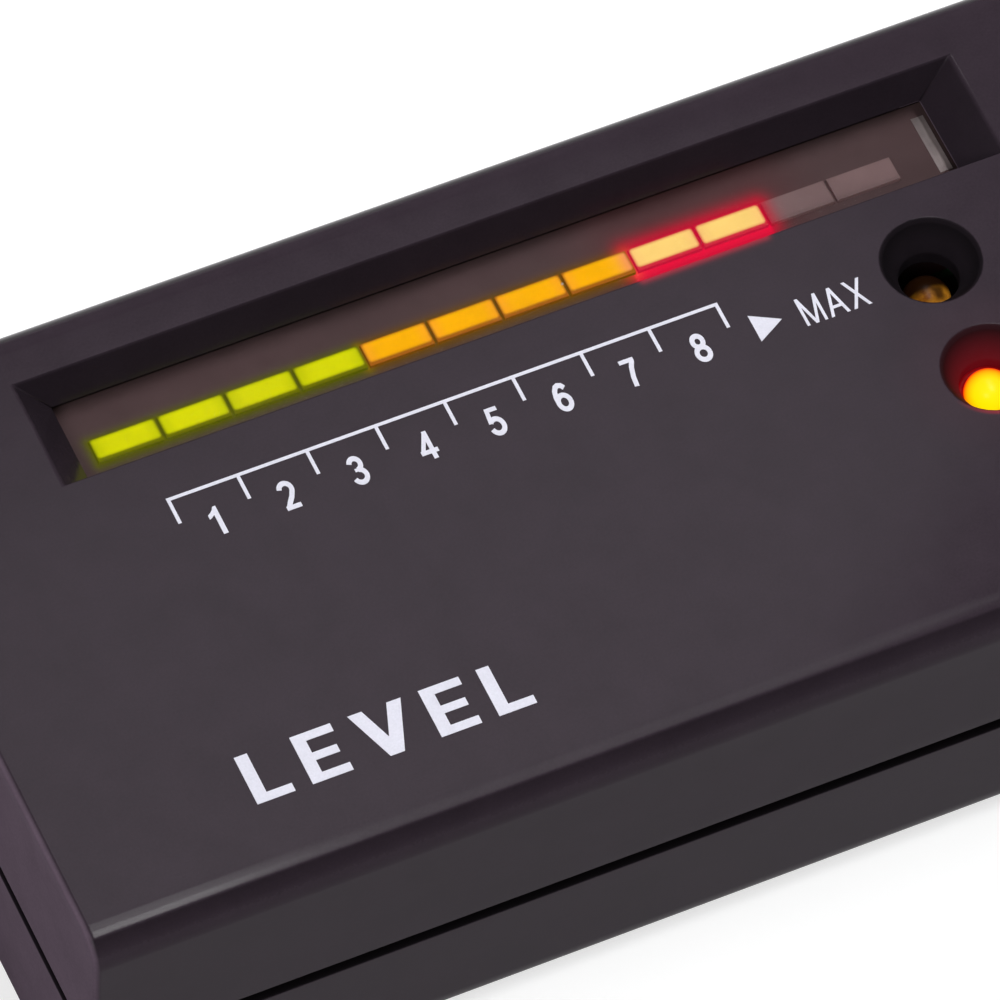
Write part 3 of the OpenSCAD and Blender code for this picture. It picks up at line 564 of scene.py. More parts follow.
def bar_face(tree):
    """The bar group set to the display's bars, whose lit face stops short of the near edge."""
    start = BAR_LOW.x - (BAR_PITCH * 4 - (BAR_HIGH.x - BAR_LOW.x)) / 2
    short = 0.2 * MM
    middle = (BAR_LOW.y + BAR_HIGH.y + short) / 2
    half_x = (BAR_HIGH.x - BAR_LOW.x - 3 * BAR_PITCH) / 2
    half_y = (BAR_HIGH.y - BAR_LOW.y - short) / 2
    return use_group(tree, "Bar Face", Start=start, Middle=middle, Half_Size=(half_x, half_y, 1))


def bar_lens(name, core, rim, edge, side, beside=None):
    """A lit bar: bright on its face, different at its ends, soft at its outline, dim at its sides."""
    material, tree, sockets = new_finish(
        name, Roughness=0.5, Specular_IOR_Level=0.0, Emission_Strength=1.0
    )
    face = bar_face(tree)
    cloud = grain_of(tree, fine=2500.0, slow=500.0)
    light = mixed(tree, face["Rim"], tuple(core), rim)
    light = tint(tree, light, vary(tree, cloud["Blotch"], 0.95, 1.04))
    # the red bars' light is painted on the end beside them
    if beside:
        red = glow_round(tree, *run_of("red_bars"), 0.9 * MM)
        light = mixed(tree, red, light, beside)
    light = mixed(tree, calc(tree, "POWER", face["Edge"], 2.0), light, edge)
    height = parts_of(tree, place_of(tree))[2]
    top = remap(tree, height, BAR_HIGH.z - 0.04 * MM, BAR_HIGH.z - 0.01 * MM)
    feed(tree, mixed(tree, top, side, light), sockets["Emission Color"])
    base = tint(tree, tuple(core), vary(tree, cloud["Grain"], 0.03, 0.05))
    feed(tree, base, sockets["Base Color"])
    return material


def unlit_lens(finish):
    """A bar that isn't lit: pale milky plastic, its sides painted lighter against their shade, with the
    red light of the bar beside it at one end.
    """
    material, tree, sockets = new_finish(
        "unlit lens", Roughness=0.45, Specular_IOR_Level=0.2, Emission_Strength=1.0
    )
    face = bar_face(tree)
    cloud = grain_of(tree, fine=3000.0, slow=400.0)
    tone = vary(tree, cloud["Blotch"], 0.92, 1.08)
    tone = dimmed(tree, tone, calc(tree, "POWER", face["Edge"], 3.0), 0.88)
    height = parts_of(tree, place_of(tree))[2]
    # the sides below the face are painted lighter, against the shade on them
    sides = remap(tree, height, BAR_HIGH.z - 0.05 * MM, BAR_HIGH.z - 0.01 * MM, 2.4, 1.0)
    base = tint(tree, tuple(finish.unlit), product(tree, tone, sides))
    red = glow_round(tree, *run_of("red_bars"), 0.85 * MM)
    feed(tree, mixed(tree, red, base, (0.1, 0.02, 0.03)), sockets["Base Color"])
    feed(tree, tint(tree, scaled(finish.halo, 0.6), red), sockets["Emission Color"])
    raise_bumps(tree, sockets, cloud["Grain"], 0.1, 0.02 * MM)
    return material


def lit_lamp_lens():
    """The lit lamp: yellow where its light leaves towards the user, orange and then red round that."""
    material, tree, sockets = new_finish(
        "power lens", Roughness=0.3, Specular_IOR_Level=0.1, Emission_Strength=1.0
    )
    low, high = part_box("power_lamp")
    bulb = ((low.x + high.x) / 2, (low.y + high.y) / 2, high.z - BULB_R)
    out = tint(tree, vector_calc(tree, "SUBTRACT", place_of(tree), bulb), 1 / BULB_R)
    towards_user = (-0.257, -0.487, 0.835)
    ramp = tree.nodes.new("ShaderNodeValToRGB")
    steps = ramp.color_ramp.elements
    steps[0].color, steps[1].color = (0.5, 0.0, 0.01, 1), (1.1, 0.88, 0.0, 1)
    for position, light in ((0.2, (0.95, 0.05, 0.0)), (0.5, (1.05, 0.42, 0.0)), (0.8, (1.1, 0.8, 0.0))):
        steps.new(position).color = opaque(light)
    feed(tree, vector_calc(tree, "DOT_PRODUCT", out, towards_user), ramp.inputs[0])
    feed(tree, ramp.outputs[0], sockets["Emission Color"])
    cloud = grain_of(tree, fine=1500.0, slow=400.0)
    feed(tree, tint(tree, (0.2, 0.04, 0.01), cloud["Blotch"]), sockets["Base Color"])
    return material


def clear_lamp_lens():
    """The unlit lamp: amber plastic with painted shade on its far side and painted glints at its near
    edge, with its inner parts showing.
    """
    material, tree, sockets = new_finish(
        "ready lens", Roughness=0.3, IOR=1.5, Specular_IOR_Level=0.08
    )
    low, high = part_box("ready_lamp")
    middle = (low + high) / 2
    y = parts_of(tree, place_of(tree))[1]
    cloud = grain_of(tree, fine=900.0, slow=520.0)
    parts = remap(tree, cloud["Blotch"], 0.4, 0.6)
    amber = mixed(tree, parts, (0.2, 0.06, 0.004), (0.62, 0.26, 0.02))
    # its small inner cup shows dark towards the tip end
    cup = glow_round(
        tree, (middle.x + 0.55 * MM, middle.y - 0.6 * MM, 0), (0.1 * MM, 0.2 * MM, 1), 0.35 * MM
    )
    amber = mixed(tree, product(tree, cup, 0.85), amber, (0.03, 0.012, 0.004))
    # painted glints along the near edge
    near = remap(tree, y, middle.y - 1.1 * MM, middle.y - 1.5 * MM)
    glints = product(tree, remap(tree, cloud["Grain"], 0.52, 0.62), near)
    amber = mixed(tree, glints, amber, (0.75, 0.5, 0.4))
    # painted shade darkens the far side
    far = remap(tree, y, middle.y - 0.75 * MM, middle.y + 0.15 * MM, soft=True)
    feed(tree, mixed(tree, far, amber, (0.012, 0.004, 0.001)), sockets["Base Color"])
    raise_bumps(tree, sockets, cloud["Grain"], 0.3, 0.1 * MM)
    return material


def brushed_metal(name, base, roughness, stretch):
    """Bare metal with lines from its making."""
    material, tree, sockets = new_finish(name, Metallic=1.0)
    brushed = use_group(tree, "Brushed Lines", Stretch=stretch, Blotch_Scale=160.0)
    edge = use_group(tree, "Edge Polish", Radius=0.15 * MM)["Edge"]
    tone = vary(tree, brushed["Lines"], 0.86, 1.06)
    tone = product(tree, tone, vary(tree, brushed["Blotch"], 0.92, 1.05))
    tone = calc(tree, "MULTIPLY_ADD", edge, 0.12, tone)
    feed(tree, tint(tree, tuple(base), tone), sockets["Base Color"])
    rough = vary(tree, brushed["Lines"], roughness - 0.08, roughness + 0.1)
    feed(tree, calc(tree, "MULTIPLY_ADD", brushed["Blotch"], 0.08, rough), sockets["Roughness"])
    raise_bumps(tree, sockets, brushed["Lines"], 0.15, 0.01 * MM)
    return material


def board_laminate():
    """Green board with paler tracks."""
    material, tree, sockets = new_finish("board laminate", IOR=1.5)
    place = place_of(tree)
    weave = noise(tree, place, 1800.0, 2.0)
    tracks = add_node(tree, "ShaderNodeTexBrick", {
        "Vector": place, "Color1": (1, 1, 1, 1), "Color2": (1, 1, 1, 1), "Mortar": (0, 0, 0, 1),
        "Scale": 120.0, "Mortar Size": 0.035, "Mortar Smooth": 0.1, "Brick Width": 0.8,
        "Row Height": 0.3,
    })
    bare = parts_of(tree, tracks.outputs["Color"])[0]
    mask = mixed(tree, bare, (0.03, 0.16, 0.06), (0.012, 0.075, 0.03))
    feed(tree, tint(tree, mask, vary(tree, weave, 0.88, 1.1)), sockets["Base Color"])
    feed(tree, vary(tree, weave, 0.3, 0.42), sockets["Roughness"])
    raise_bumps(tree, sockets, bare, 0.3, 0.03 * MM)
    return material


def battery_jacket():
    """Printed metal jacket with a dark end band, and bare metal at its terminals."""
    material, tree, sockets = new_finish("battery jacket")
    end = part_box("battery")[1].x
    x = parts_of(tree, place_of(tree))[0]
    scuff = use_group(tree, "Brushed Lines", Stretch=(300, 4000, 4000), Blotch_Scale=200.0)
    band = calc(tree, "GREATER_THAN", x, end - 14 * MM)
    bare = calc(tree, "GREATER_THAN", x, end - 2.1 * MM)
    jacket = mixed(tree, band, (0.03, 0.03, 0.035), (0.45, 0.31, 0.07))
    jacket = mixed(tree, bare, jacket, (0.55, 0.55, 0.55))
    feed(tree, tint(tree, jacket, vary(tree, scuff["Lines"], 0.88, 1.08)), sockets["Base Color"])
    feed(tree, remap(tree, bare, 0.0, 1.0, 0.35, 1.0), sockets["Metallic"])
    feed(tree, vary(tree, scuff["Blotch"], 0.28, 0.42), sockets["Roughness"])
    return material


def foam_finish():
    """Open grey foam."""
    material, tree, sockets = new_finish("grey foam", Roughness=0.95)
    pores = add_node(tree, "ShaderNodeTexVoronoi", {"Vector": place_of(tree), "Scale": 1400.0})
    feed(
        tree, mixed(tree, pores.outputs["Distance"], (0.08, 0.08, 0.08), (0.2, 0.2, 0.2)),
        sockets["Base Color"],
    )
    raise_bumps(tree, sockets, pores.outputs["Distance"], 0.8, 0.2 * MM)
    return material


def capacitor_jacket():
    """Shrunk dark blue sleeve with a pale stripe."""
    material, tree, sockets = new_finish("capacitor jacket")
    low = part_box("capacitor")[0]
    y = parts_of(tree, place_of(tree))[1]
    shrink = grain_of(tree, fine=2500.0, slow=300.0)
    stripe = calc(tree, "LESS_THAN", y, low.y + 1.2 * MM)
    jacket = mixed(tree, stripe, (0.015, 0.02, 0.06), (0.4, 0.42, 0.46))
    feed(tree, tint(tree, jacket, vary(tree, shrink["Blotch"], 0.9, 1.1)), sockets["Base Color"])
    feed(tree, vary(tree, shrink["Grain"], 0.25, 0.4), sockets["Roughness"])
    return material


def print_ink(finish):
    """White screen print."""
    material, tree, sockets = new_finish("print ink", IOR=1.45, Specular_IOR_Level=0.1)
    mesh = grain_of(tree, fine=6500.0, slow=700.0)
    tone = vary(tree, mesh["Grain"], 0.95, 1.03)
    tone = product(tree, tone, vary(tree, mesh["Blotch"], 0.96, 1.03))
    feed(tree, tint(tree, tuple(finish.print_ink), tone), sockets["Base Color"])
    feed(tree, vary(tree, mesh["Grain"], 0.5, 0.62), sockets["Roughness"])
    raise_bumps(tree, sockets, mesh["Grain"], 0.15, 0.01 * MM)
    return material


def strip_finish():
    """Pale end of the display's film, dimmer far from the user, and painted brighter along its outer
    edge against the shade of the wall beside it.
    """
    material, tree, sockets = new_finish("strip film", Roughness=0.5)
    grain = grain_of(tree, fine=2500.0, slow=600.0)
    x, y, _ = parts_of(tree, place_of(tree))
    near = remap(tree, y, 13.6 * MM, 17.8 * MM, 1.0, 0.55)
    # painted light: brighter along the outer edge, against the shade of the window's end wall
    edge = remap(tree, x, BUTT_X + 79.5 * MM, BUTT_X + 80.1 * MM, 1.0, 1.9)
    tone = product(tree, product(tree, near, edge), vary(tree, grain["Blotch"], 0.8, 1.15))
    feed(tree, tint(tree, (0.46, 0.38, 0.38), tone), sockets["Base Color"])
    return material


def dress(material, *nodes):
    """Give CAD pieces a finish."""
    for node in nodes:
        NODES[node].data.materials.clear()
        NODES[node].data.materials.append(material)


# Smooth shading and soft edges on the CAD pieces

def smooth_group():
    """Geometry nodes that join a solid's faces and shade them smooth up to an angle."""
    tree = bpy.data.node_groups.new("Smooth Solid", "GeometryNodeTree")
    tree.interface.new_socket("Geometry", in_out="INPUT", socket_type="NodeSocketGeometry")
    tree.interface.new_socket("Geometry", in_out="OUTPUT", socket_type="NodeSocketGeometry")
    given = tree.nodes.new("NodeGroupInput")
    result = tree.nodes.new("NodeGroupOutput")
    bare = add_node(
        tree, "GeometryNodeRemoveAttribute", {"Geometry": given.outputs[0], "Name": "custom_normal"}
    )
    joined = add_node(
        tree, "GeometryNodeMergeByDistance", {"Geometry": bare.outputs[0], "Distance": 0.0005 * MM}
    )
    faces = add_node(
        tree, "GeometryNodeSetShadeSmooth", {"Geometry": joined.outputs[0], "Shade Smooth": True},
        domain="FACE",
    )
    angle = tree.nodes.new("GeometryNodeInputMeshEdgeAngle")
    sharp = add_node(
        tree, "FunctionNodeCompare", {0: angle.outputs["Unsigned Angle"], 1: SHARP_ANGLE},
        data_type="FLOAT", operation="GREATER_THAN",
    )
    edges = add_node(
        tree, "GeometryNodeSetShadeSmooth",
        {"Geometry": faces.outputs[0], "Selection": sharp.outputs[0], "Shade Smooth": False},
        domain="EDGE",
    )
    feed(tree, edges.outputs[0], result.inputs[0])


def smooth(node, bevel=0.0, segments=2):
    """Smooth shading for a CAD piece, with its sharp edges rounded where a bevel is given."""
    piece = NODES[node]
    made = piece.modifiers.new("smooth", "NODES")
    made.node_group = bpy.data.node_groups["Smooth Solid"]
    if bevel:
        made = piece.modifiers.new("soft edges", "BEVEL")
        made.width = bevel
        made.segments = segments
        made.limit_method = "ANGLE"
        made.angle_limit = SHARP_ANGLE
        made.use_clamp_overlap = False
        made.harden_normals = False
    made = piece.modifiers.new("even shading", "WEIGHTED_NORMAL")
    made.keep_sharp = True
    made.weight = 100


# Print

def flat_piece(name, outlines, low, high, material):
    """One piece of flat closed plates; outlines that overlap become one plate."""
    points, loops = [], []
    for outline in outlines:
        loops.append(list(range(len(points), len(points) + len(outline))))
        points += [Vector(point) / MM for point in outline]
    found, _, parts, _, _, sources = geometry.delaunay_2d_cdt(points, [], loops, 0, 0.0001, True)
    parts = [list(part) for part, source in zip(parts, sources) if source]
    shape = bmesh.new()
    base = [shape.verts.new((point.x * MM, point.y * MM, low)) for point in found]
    top = [shape.verts.new((point.x * MM, point.y * MM, high)) for point in found]
    edges = {pair for part in parts for pair in zip(part, part[1:] + part[:1])}
    for part in parts:
        shape.faces.new([base[i] for i in reversed(part)])
        shape.faces.new([top[i] for i in part])
    for a, b in edges:
        if (b, a) not in edges:
            shape.faces.new((base[a], base[b], top[b], top[a]))
    loose = [point for point in shape.verts if not point.link_faces]
    bmesh.ops.delete(shape, geom=loose, context="VERTS")
    return add_piece(name, shape, material)


def add_piece(name, shape, material):
    """A new object from a finished bmesh."""
    bmesh.ops.recalc_face_normals(shape, faces=shape.faces)
    mesh = bpy.data.meshes.new(name)
    shape.to_mesh(mesh)
    shape.free()
    mesh.materials.append(material)
    piece = bpy.data.objects.new(name, mesh)
    bpy.context.scene.collection.objects.link(piece)
    return piece


def stroke(points, width):
    """Outlines of one stroke of even width along a line of points."""
    points = [Vector(point) for point in points]
    turns = [(b - a).normalized().orthogonal() for a, b in zip(points, points[1:])]
    sides = []
    for first, second in zip([turns[0], *turns], [*turns, turns[-1]]):
        sides.append((first + second) / (1 + first.dot(second)) * (width / 2))
    return [
        [a - m, b - n, b + n, a + m]
        for a, b, m, n in zip(points, points[1:], sides, sides[1:])
    ]


def bow(x, y, wide, tall, start, end, steps=18):
    """Points of a bow from one angle to another, in degrees."""
    angles = [math.radians(start + (end - start) * i / steps) for i in range(steps + 1)]
    return [(x + wide * math.cos(angle), y + tall * math.sin(angle)) for angle in angles]


def block(x0, y0, x1, y1):
    """An upright bar."""
    return [(x0, y0), (x1, y0), (x1, y1), (x0, y1)]


def slant(base, top, width):
    """A slanted bar with level ends, from the left corner of its foot to that of its head."""
    return [(base, 0), (base + width, 0), (top + width, 1), (top, 1)]


def glyph(sign):
    """Outlines of a number or letter of height 1."""
    w = 0.178
    match sign:
        case "1":
            return [[
                (0.27, 0), (0.455, 0), (0.455, 1), (0.34, 1), (0.27, 0.9), (0.17, 0.82), (0.05, 0.76),
                (0.05, 0.61), (0.16, 0.65), (0.27, 0.72),
            ]]
        case "2":
            spine = [*bow(0.31, 0.71, 0.225, 0.2225, 170, -30), (0.4, 0.42), (0.24, 0.24), (0.14, 0.1)]
            return [*stroke(spine, w), block(0.03, 0, 0.6, 0.155)]
        case "3":
            return [
                *stroke(bow(0.3, 0.725, 0.2, 0.2075, 165, -85), w),
                *stroke(bow(0.3, 0.295, 0.235, 0.2275, 85, -165), w),
                block(0.2, 0.46, 0.33, 0.575),
            ]
        case "4":
            return [
                block(0.365, 0, 0.535, 1), block(0.0, 0.205, 0.66, 0.355),
                *stroke([(0.075, 0.28), (0.45, 0.95)], 0.15),
            ]
        case "5":
            return [
                block(0.12, 0.85, 0.57, 1), [(0.12, 1), (0.05, 0.46), (0.21, 0.44), (0.27, 0.92)],
                *stroke(bow(0.31, 0.325, 0.24, 0.2575, 140, -165), w),
            ]
        case "6":
            tail = [
                (0.095, 0.34), (0.1, 0.55), (0.155, 0.76), (0.25, 0.895), (0.35, 0.932), (0.46, 0.9),
                (0.54, 0.79),
            ]
            return [*stroke(bow(0.32, 0.32, 0.225, 0.2525, 0, 360, 32), w), *stroke(tail, w)]
        case "7":
            return [
                block(0.04, 0.855, 0.61, 1),
                *stroke([(0.53, 0.9), (0.4, 0.66), (0.3, 0.34), (0.258, 0)], w),
            ]
        case "8":
            return [
                *stroke(bow(0.32, 0.735, 0.19, 0.1975, 0, 360, 32), w),
                *stroke(bow(0.32, 0.295, 0.235, 0.2275, 0, 360, 32), w),
            ]
        case "M":
            return [
                block(0, 0, 0.1, 1), block(0.64, 0, 0.74, 1),
                slant(0.318, 0.0, 0.104), slant(0.318, 0.636, 0.104),
            ]
        case "A":
            return [slant(0, 0.285, 0.11), slant(0.57, 0.285, 0.11), block(0.13, 0.27, 0.55, 0.37)]
        case "X":
            return [slant(0, 0.53, 0.12), slant(0.53, 0, 0.12)]
        case "L":
            return [block(0, 0, 0.19, 1), block(0, 0, 0.56, 0.17)]
        case "E":
            return [
                block(0, 0, 0.19, 1), block(0, 0, 0.6, 0.165), block(0, 0.42, 0.55, 0.58),
                block(0, 0.835, 0.6, 1),
            ]
        case "V":
            return [slant(0.29, 0, 0.21), slant(0.29, 0.58, 0.21)]
    raise ValueError(f"no outline for {sign}")


def lettering(text, middle, height, stretch=1.0, gap=0.16):
    """Outlines of a word, centred on a place in the shared frame."""
    outlines, x = [], 0.0
    for sign in text:
        shapes = glyph(sign)
        left = min(point[0] for shape in shapes for point in shape)
        right = max(point[0] for shape in shapes for point in shape)
        for shape in shapes:
            outlines.append([(x + (point[0] - left) * stretch, point[1]) for point in shape])
        x += (right - left) * stretch + gap
    wide = x - gap
    return [
        [(middle[0] + (a - wide / 2) * height, middle[1] + (b - 0.5) * height) for a, b in shape]
        for shape in outlines
    ]


def settle(piece):
    """A new piece rides on the case."""
    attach(piece, "case")


def lamp_collar():
    """A thin dark red ring that closes the gap between the lit lamp and its hole, with the lamp's red
    light painted on it as a glow.
    """
    low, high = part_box("power_lamp")
    middle = (low + high) / 2
    base = high.z - 1.86 * MM
    # radius and height in millimetres
    profile = ((1.752, 0.0), (2.09, 0.0), (2.09, 0.3), (2.0, 0.34), (1.84, 0.34), (1.752, 0.26))
    sides = 64
    shape = bmesh.new()
    rings = []
    for step in range(sides):
        x, y = math.cos(math.tau * step / sides), math.sin(math.tau * step / sides)
        rings.append([
            shape.verts.new((middle.x + r * MM * x, middle.y + r * MM * y, base + z * MM))
            for r, z in profile
        ])
    for first, second in zip(rings, rings[1:] + rings[:1]):
        for i in range(len(profile)):
            j = (i + 1) % len(profile)
            shape.faces.new((first[i], second[i], second[j], first[j])).smooth = True
    material, tree, sockets = new_finish(
        "collar glow", Roughness=0.5, Specular_IOR_Level=0.1, Emission_Strength=1.0
    )
    cloud = grain_of(tree, fine=2500.0, slow=500.0)
    # the lamp's red light, painted on the ring as a glow
    glow = vary(tree, cloud["Blotch"], 0.14, 0.2)
    feed(tree, tint(tree, (1.0, 0.0, 0.01), glow), sockets["Emission Color"])
    feed(tree, tint(tree, (0.1, 0.004, 0.004), cloud["Grain"]), sockets["Base Color"])
    return add_piece("lamp_collar", shape, material)


# Operators

class TESTER_OT_case(bpy.types.Operator):
    """Finish the case halves, the battery door, the nose cone and the thumbwheel"""

    bl_idname = "tester.case"
    bl_label = "Finish Case"

    def execute(self, context):
        finish = context.scene.tester_finish
        dress(case_plastic(finish), "top_case", "bottom_case", "battery_door")
        dress(moulded_plastic("nose plastic", tuple(finish.nose), 0.34)[0], "nose_cone")
        dress(moulded_plastic("wheel plastic", tuple(finish.nose), 0.4)[0], "thumbwheel")
        for node in ("top_case", "bottom_case", "battery_door"):
            smooth(node, 0.1 * MM)
        smooth("nose_cone")
        smooth("thumbwheel", 0.08 * MM)
        return {"FINISHED"}


# finish, piece and setting of each colour of lit bar, with its light at the ends, at the outline,
# down the sides and, where red bars are beside it, the red bars' light painted on that end
LIT_BARS = (
    ("green lens", "green_bars", "green", (0.7, 0.75, 0.0), (0.16, 0.17, 0.0), (0.1, 0.11, 0.0)),
    (
        "amber lens", "amber_bars", "amber", (1.3, 0.52, 0.02), (0.45, 0.13, 0.01), (0.2, 0.07, 0.0),
        (1.25, 0.4, 0.16),
    ),
    ("red lens", "red_bars", "red", (1.33, 0.78, 0.25), (0.8, 0.005, 0.055), (0.72, 0.0, 0.045)),
)


class TESTER_OT_display(bpy.types.Operator):
    """Finish the window pane and the bars under it"""

    bl_idname = "tester.display"
    bl_label = "Finish Display"

    def execute(self, context):
        finish = context.scene.tester_finish
        dress(pane_plastic(finish), "window_pane")
        dress(housing_plastic(finish), "bar_housing")
        for name, node, setting, *lights in LIT_BARS:
            dress(bar_lens(name, getattr(finish, setting), *lights), node)
        dress(unlit_lens(finish), "unlit_bars")
        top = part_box("bar_housing")[1].z
        film = block(BUTT_X + 79.26 * MM, 13.3 * MM, BUTT_X + 80.19 * MM, 18.1 * MM)
        strip = flat_piece("window_strip", [film], top - 0.02 * MM, top + 0.04 * MM, strip_finish())
        settle(strip)
        return {"FINISHED"}


class TESTER_OT_lamps(bpy.types.Operator):
    """Finish the two lamps and close the lit one's hole with a ring"""

    bl_idname = "tester.lamps"
    bl_label = "Finish Lamps"

    def execute(self, context):
        dress(clear_lamp_lens(), "ready_lamp")
        dress(lit_lamp_lens(), "power_lamp")
        for node in ("ready_lamp", "power_lamp"):
            smooth(node)
        settle(lamp_collar())
        return {"FINISHED"}


# finish, setting of its colour, roughness, drawn lines, edge rounding and pieces of each metal
METALS = (
    ("sleeve steel", "steel", 0.26, (9000, 250, 250), 0.1 * MM, ("probe_sleeve",)),
    ("tip copper", "copper", 0.3, (7000, 300, 300), 0.1 * MM, ("probe_tip",)),
    (
        "strip steel", "steel", 0.3, (250, 2500, 7000), 0.1 * MM,
        ("contact_strip_far", "contact_strip_near"),
    ),
    (
        "screw steel", "steel", 0.34, (3000, 3000, 3000), 0.0,
        ("case_screws", "board_screws", "wheel_clip", "probe_spring"),
    ),
)


class TESTER_OT_metal(bpy.types.Operator):
    """Finish the probe, its spring, the contact strips, the screws and the wheel's clip"""

    bl_idname = "tester.metal"
    bl_label = "Finish Metal"

    def execute(self, context):
        finish = context.scene.tester_finish
        for name, setting, roughness, stretch, bevel, nodes in METALS:
            dress(brushed_metal(name, getattr(finish, setting), roughness, stretch), *nodes)
            for node in nodes:
                smooth(node, bevel)
        return {"FINISHED"}


# finish, colour, roughness and pieces of each small moulding inside the case
MOULDINGS = (
    ("bush plastic", (0.72, 0.7, 0.64), 0.4, ("tip_bush", "sleeve_plug", "probe_socket")),
    (
        "dark plastic", (0.02, 0.02, 0.02), 0.45,
        ("wheel_control", "lamp_spacers", "buzzer", "battery_snap", "driver_chip", "amplifier_chip"),
    ),
    ("red insulation", (0.4, 0.015, 0.012), 0.4, ("battery_lead_red", "probe_wire_far")),
    ("black insulation", (0.015, 0.015, 0.016), 0.4, ("battery_lead_black",)),
    ("white insulation", (0.68, 0.68, 0.66), 0.4, ("probe_wire_near",)),
    ("trimmer plastic", (0.02, 0.08, 0.3), 0.35, ("trimmer",)),
    ("bead ceramic", (0.7, 0.68, 0.62), 0.5, ("probe_heater",)),
)


class TESTER_OT_inside(bpy.types.Operator):
    """Finish the pieces inside the case"""

    bl_idname = "tester.inside"
    bl_label = "Finish Inside"

    def execute(self, context):
        for name, base, roughness, nodes in MOULDINGS:
            dress(moulded_plastic(name, base, roughness, grain_scale=3500.0)[0], *nodes)
        dress(board_laminate(), "main_board")
        dress(battery_jacket(), "battery")
        dress(foam_finish(), "foam_pad")
        dress(capacitor_jacket(), "capacitor")
        for node in (
            "tip_bush", "sleeve_plug", "wheel_control", "lamp_spacers", "buzzer", "battery_snap",
            "battery_lead_red", "battery_lead_black", "probe_wire_far", "probe_wire_near",
            "battery", "capacitor", "trimmer", "probe_heater",
        ):
            smooth(node)
        return {"FINISHED"}


# sideways shift of each number from its even place, in millimetres
DIGIT_SHIFTS = (-0.16, 0, 0.02, 0, -0.02, -0.14, -0.06, 0)


class TESTER_OT_print(bpy.types.Operator):
    """Print the scale, its numbers and the words on the top face"""

    bl_idname = "tester.print_scale"
    bl_label = "Print Scale"

    def execute(self, context):
        sizes = context.scene.tester_print
        ink = print_ink(context.scene.tester_finish)
        half = sizes.line_width / 2
        low, high = FACE_Z - sizes.ink_height / 2, FACE_Z + sizes.ink_height
        start, line_y = BUTT_X + sizes.scale_start, sizes.scale_y
        last = 8
        end = start + last * sizes.scale_step
        # the line and its ticks share one outline
        outline = [(start - half, line_y + half), (start - half, line_y - sizes.tick_length)]
        for tick in range(last + 1):
            x = start + tick * sizes.scale_step
            if tick:
                outline.append((x - half, line_y - half))
                outline.append((x - half, line_y - sizes.tick_length))
            outline.append((x + half, line_y - sizes.tick_length))
            if tick < last:
                outline.append((x + half, line_y - half))
        outline.append((end + half, line_y + half))
        x, y, half = BUTT_X + sizes.pointer_x, sizes.pointer_y, sizes.pointer_width / 2
        pointer = [(x, y - half), (x + sizes.pointer_length, y), (x, y + half)]
        numbers = []
        for i, shift in enumerate(DIGIT_SHIFTS):
            x = BUTT_X + sizes.digit_start + sizes.digit_step * i + shift * MM
            numbers += lettering(str(i + 1), (x, sizes.digit_y), sizes.digit_height, 0.81)
        place = (BUTT_X + sizes.label_x, sizes.label_y)
        label = lettering("MAX", place, sizes.label_height, 0.9, 0.12)
        place = (BUTT_X + sizes.word_x, -sizes.word_y)
        word = lettering("LEVEL", place, sizes.word_height, 1.25, 0.32)
        shapes = {
            "scale_line": [outline], "scale_pointer": [pointer], "scale_numbers": numbers,
            "scale_label": label, "panel_word": word,
        }
        for name, outlines in shapes.items():
            settle(flat_piece(name, outlines, low, high, ink))
        return {"FINISHED"}


# name, setting of its power, place, target and size of each light, in metres
LIGHTS = (
    ("panel light", "panel", (0.0445, 0.033, 0.4), (0.0445, 0.033, 0.0), (0.149, 0.426)),
    ("edge light", "edge", (0.04, -0.07, 0.398), (0.04, -0.07, 0.0), (0.14, 0.2)),
    ("glint light", "glint", (0.001, -0.1, 0.396), (0.001, -0.1, 0.0), (0.028, 0.12)),
    ("shoulder light", "shoulder", (0.001, 0.03, 0.396), (0.001, 0.03, 0.0), (0.028, 0.14)),
    ("key light", "key", (-0.3, -0.3, 0.4), (-0.05, 0.0, 0.02), (0.2, 0.2)),
    ("far fill", "fill", (-0.1, 0.6, 0.06), (0.0, 0.0, 0.012), (0.6, 0.12)),
    ("tip fill", "fill", (0.5, 0.35, 0.06), (0.0, 0.0, 0.012), (0.6, 0.12)),
)


class TESTER_OT_stage(bpy.types.Operator):
    """Set the floor, the lights, the world and the camera"""

    bl_idname = "tester.stage"
    bl_label = "Set Stage"

    def execute(self, context):
        scene = context.scene
        scene.view_settings.view_transform = "Standard"
        stage = scene.tester_stage
        lay_floor(stage)
        light_world(scene, stage)
        for name, setting, place, target, size in LIGHTS:
            light = area_light(name, place, target, size, getattr(stage, setting))
            light.visible_glossy = setting != "fill"
        set_camera(scene)
        return {"FINISHED"}


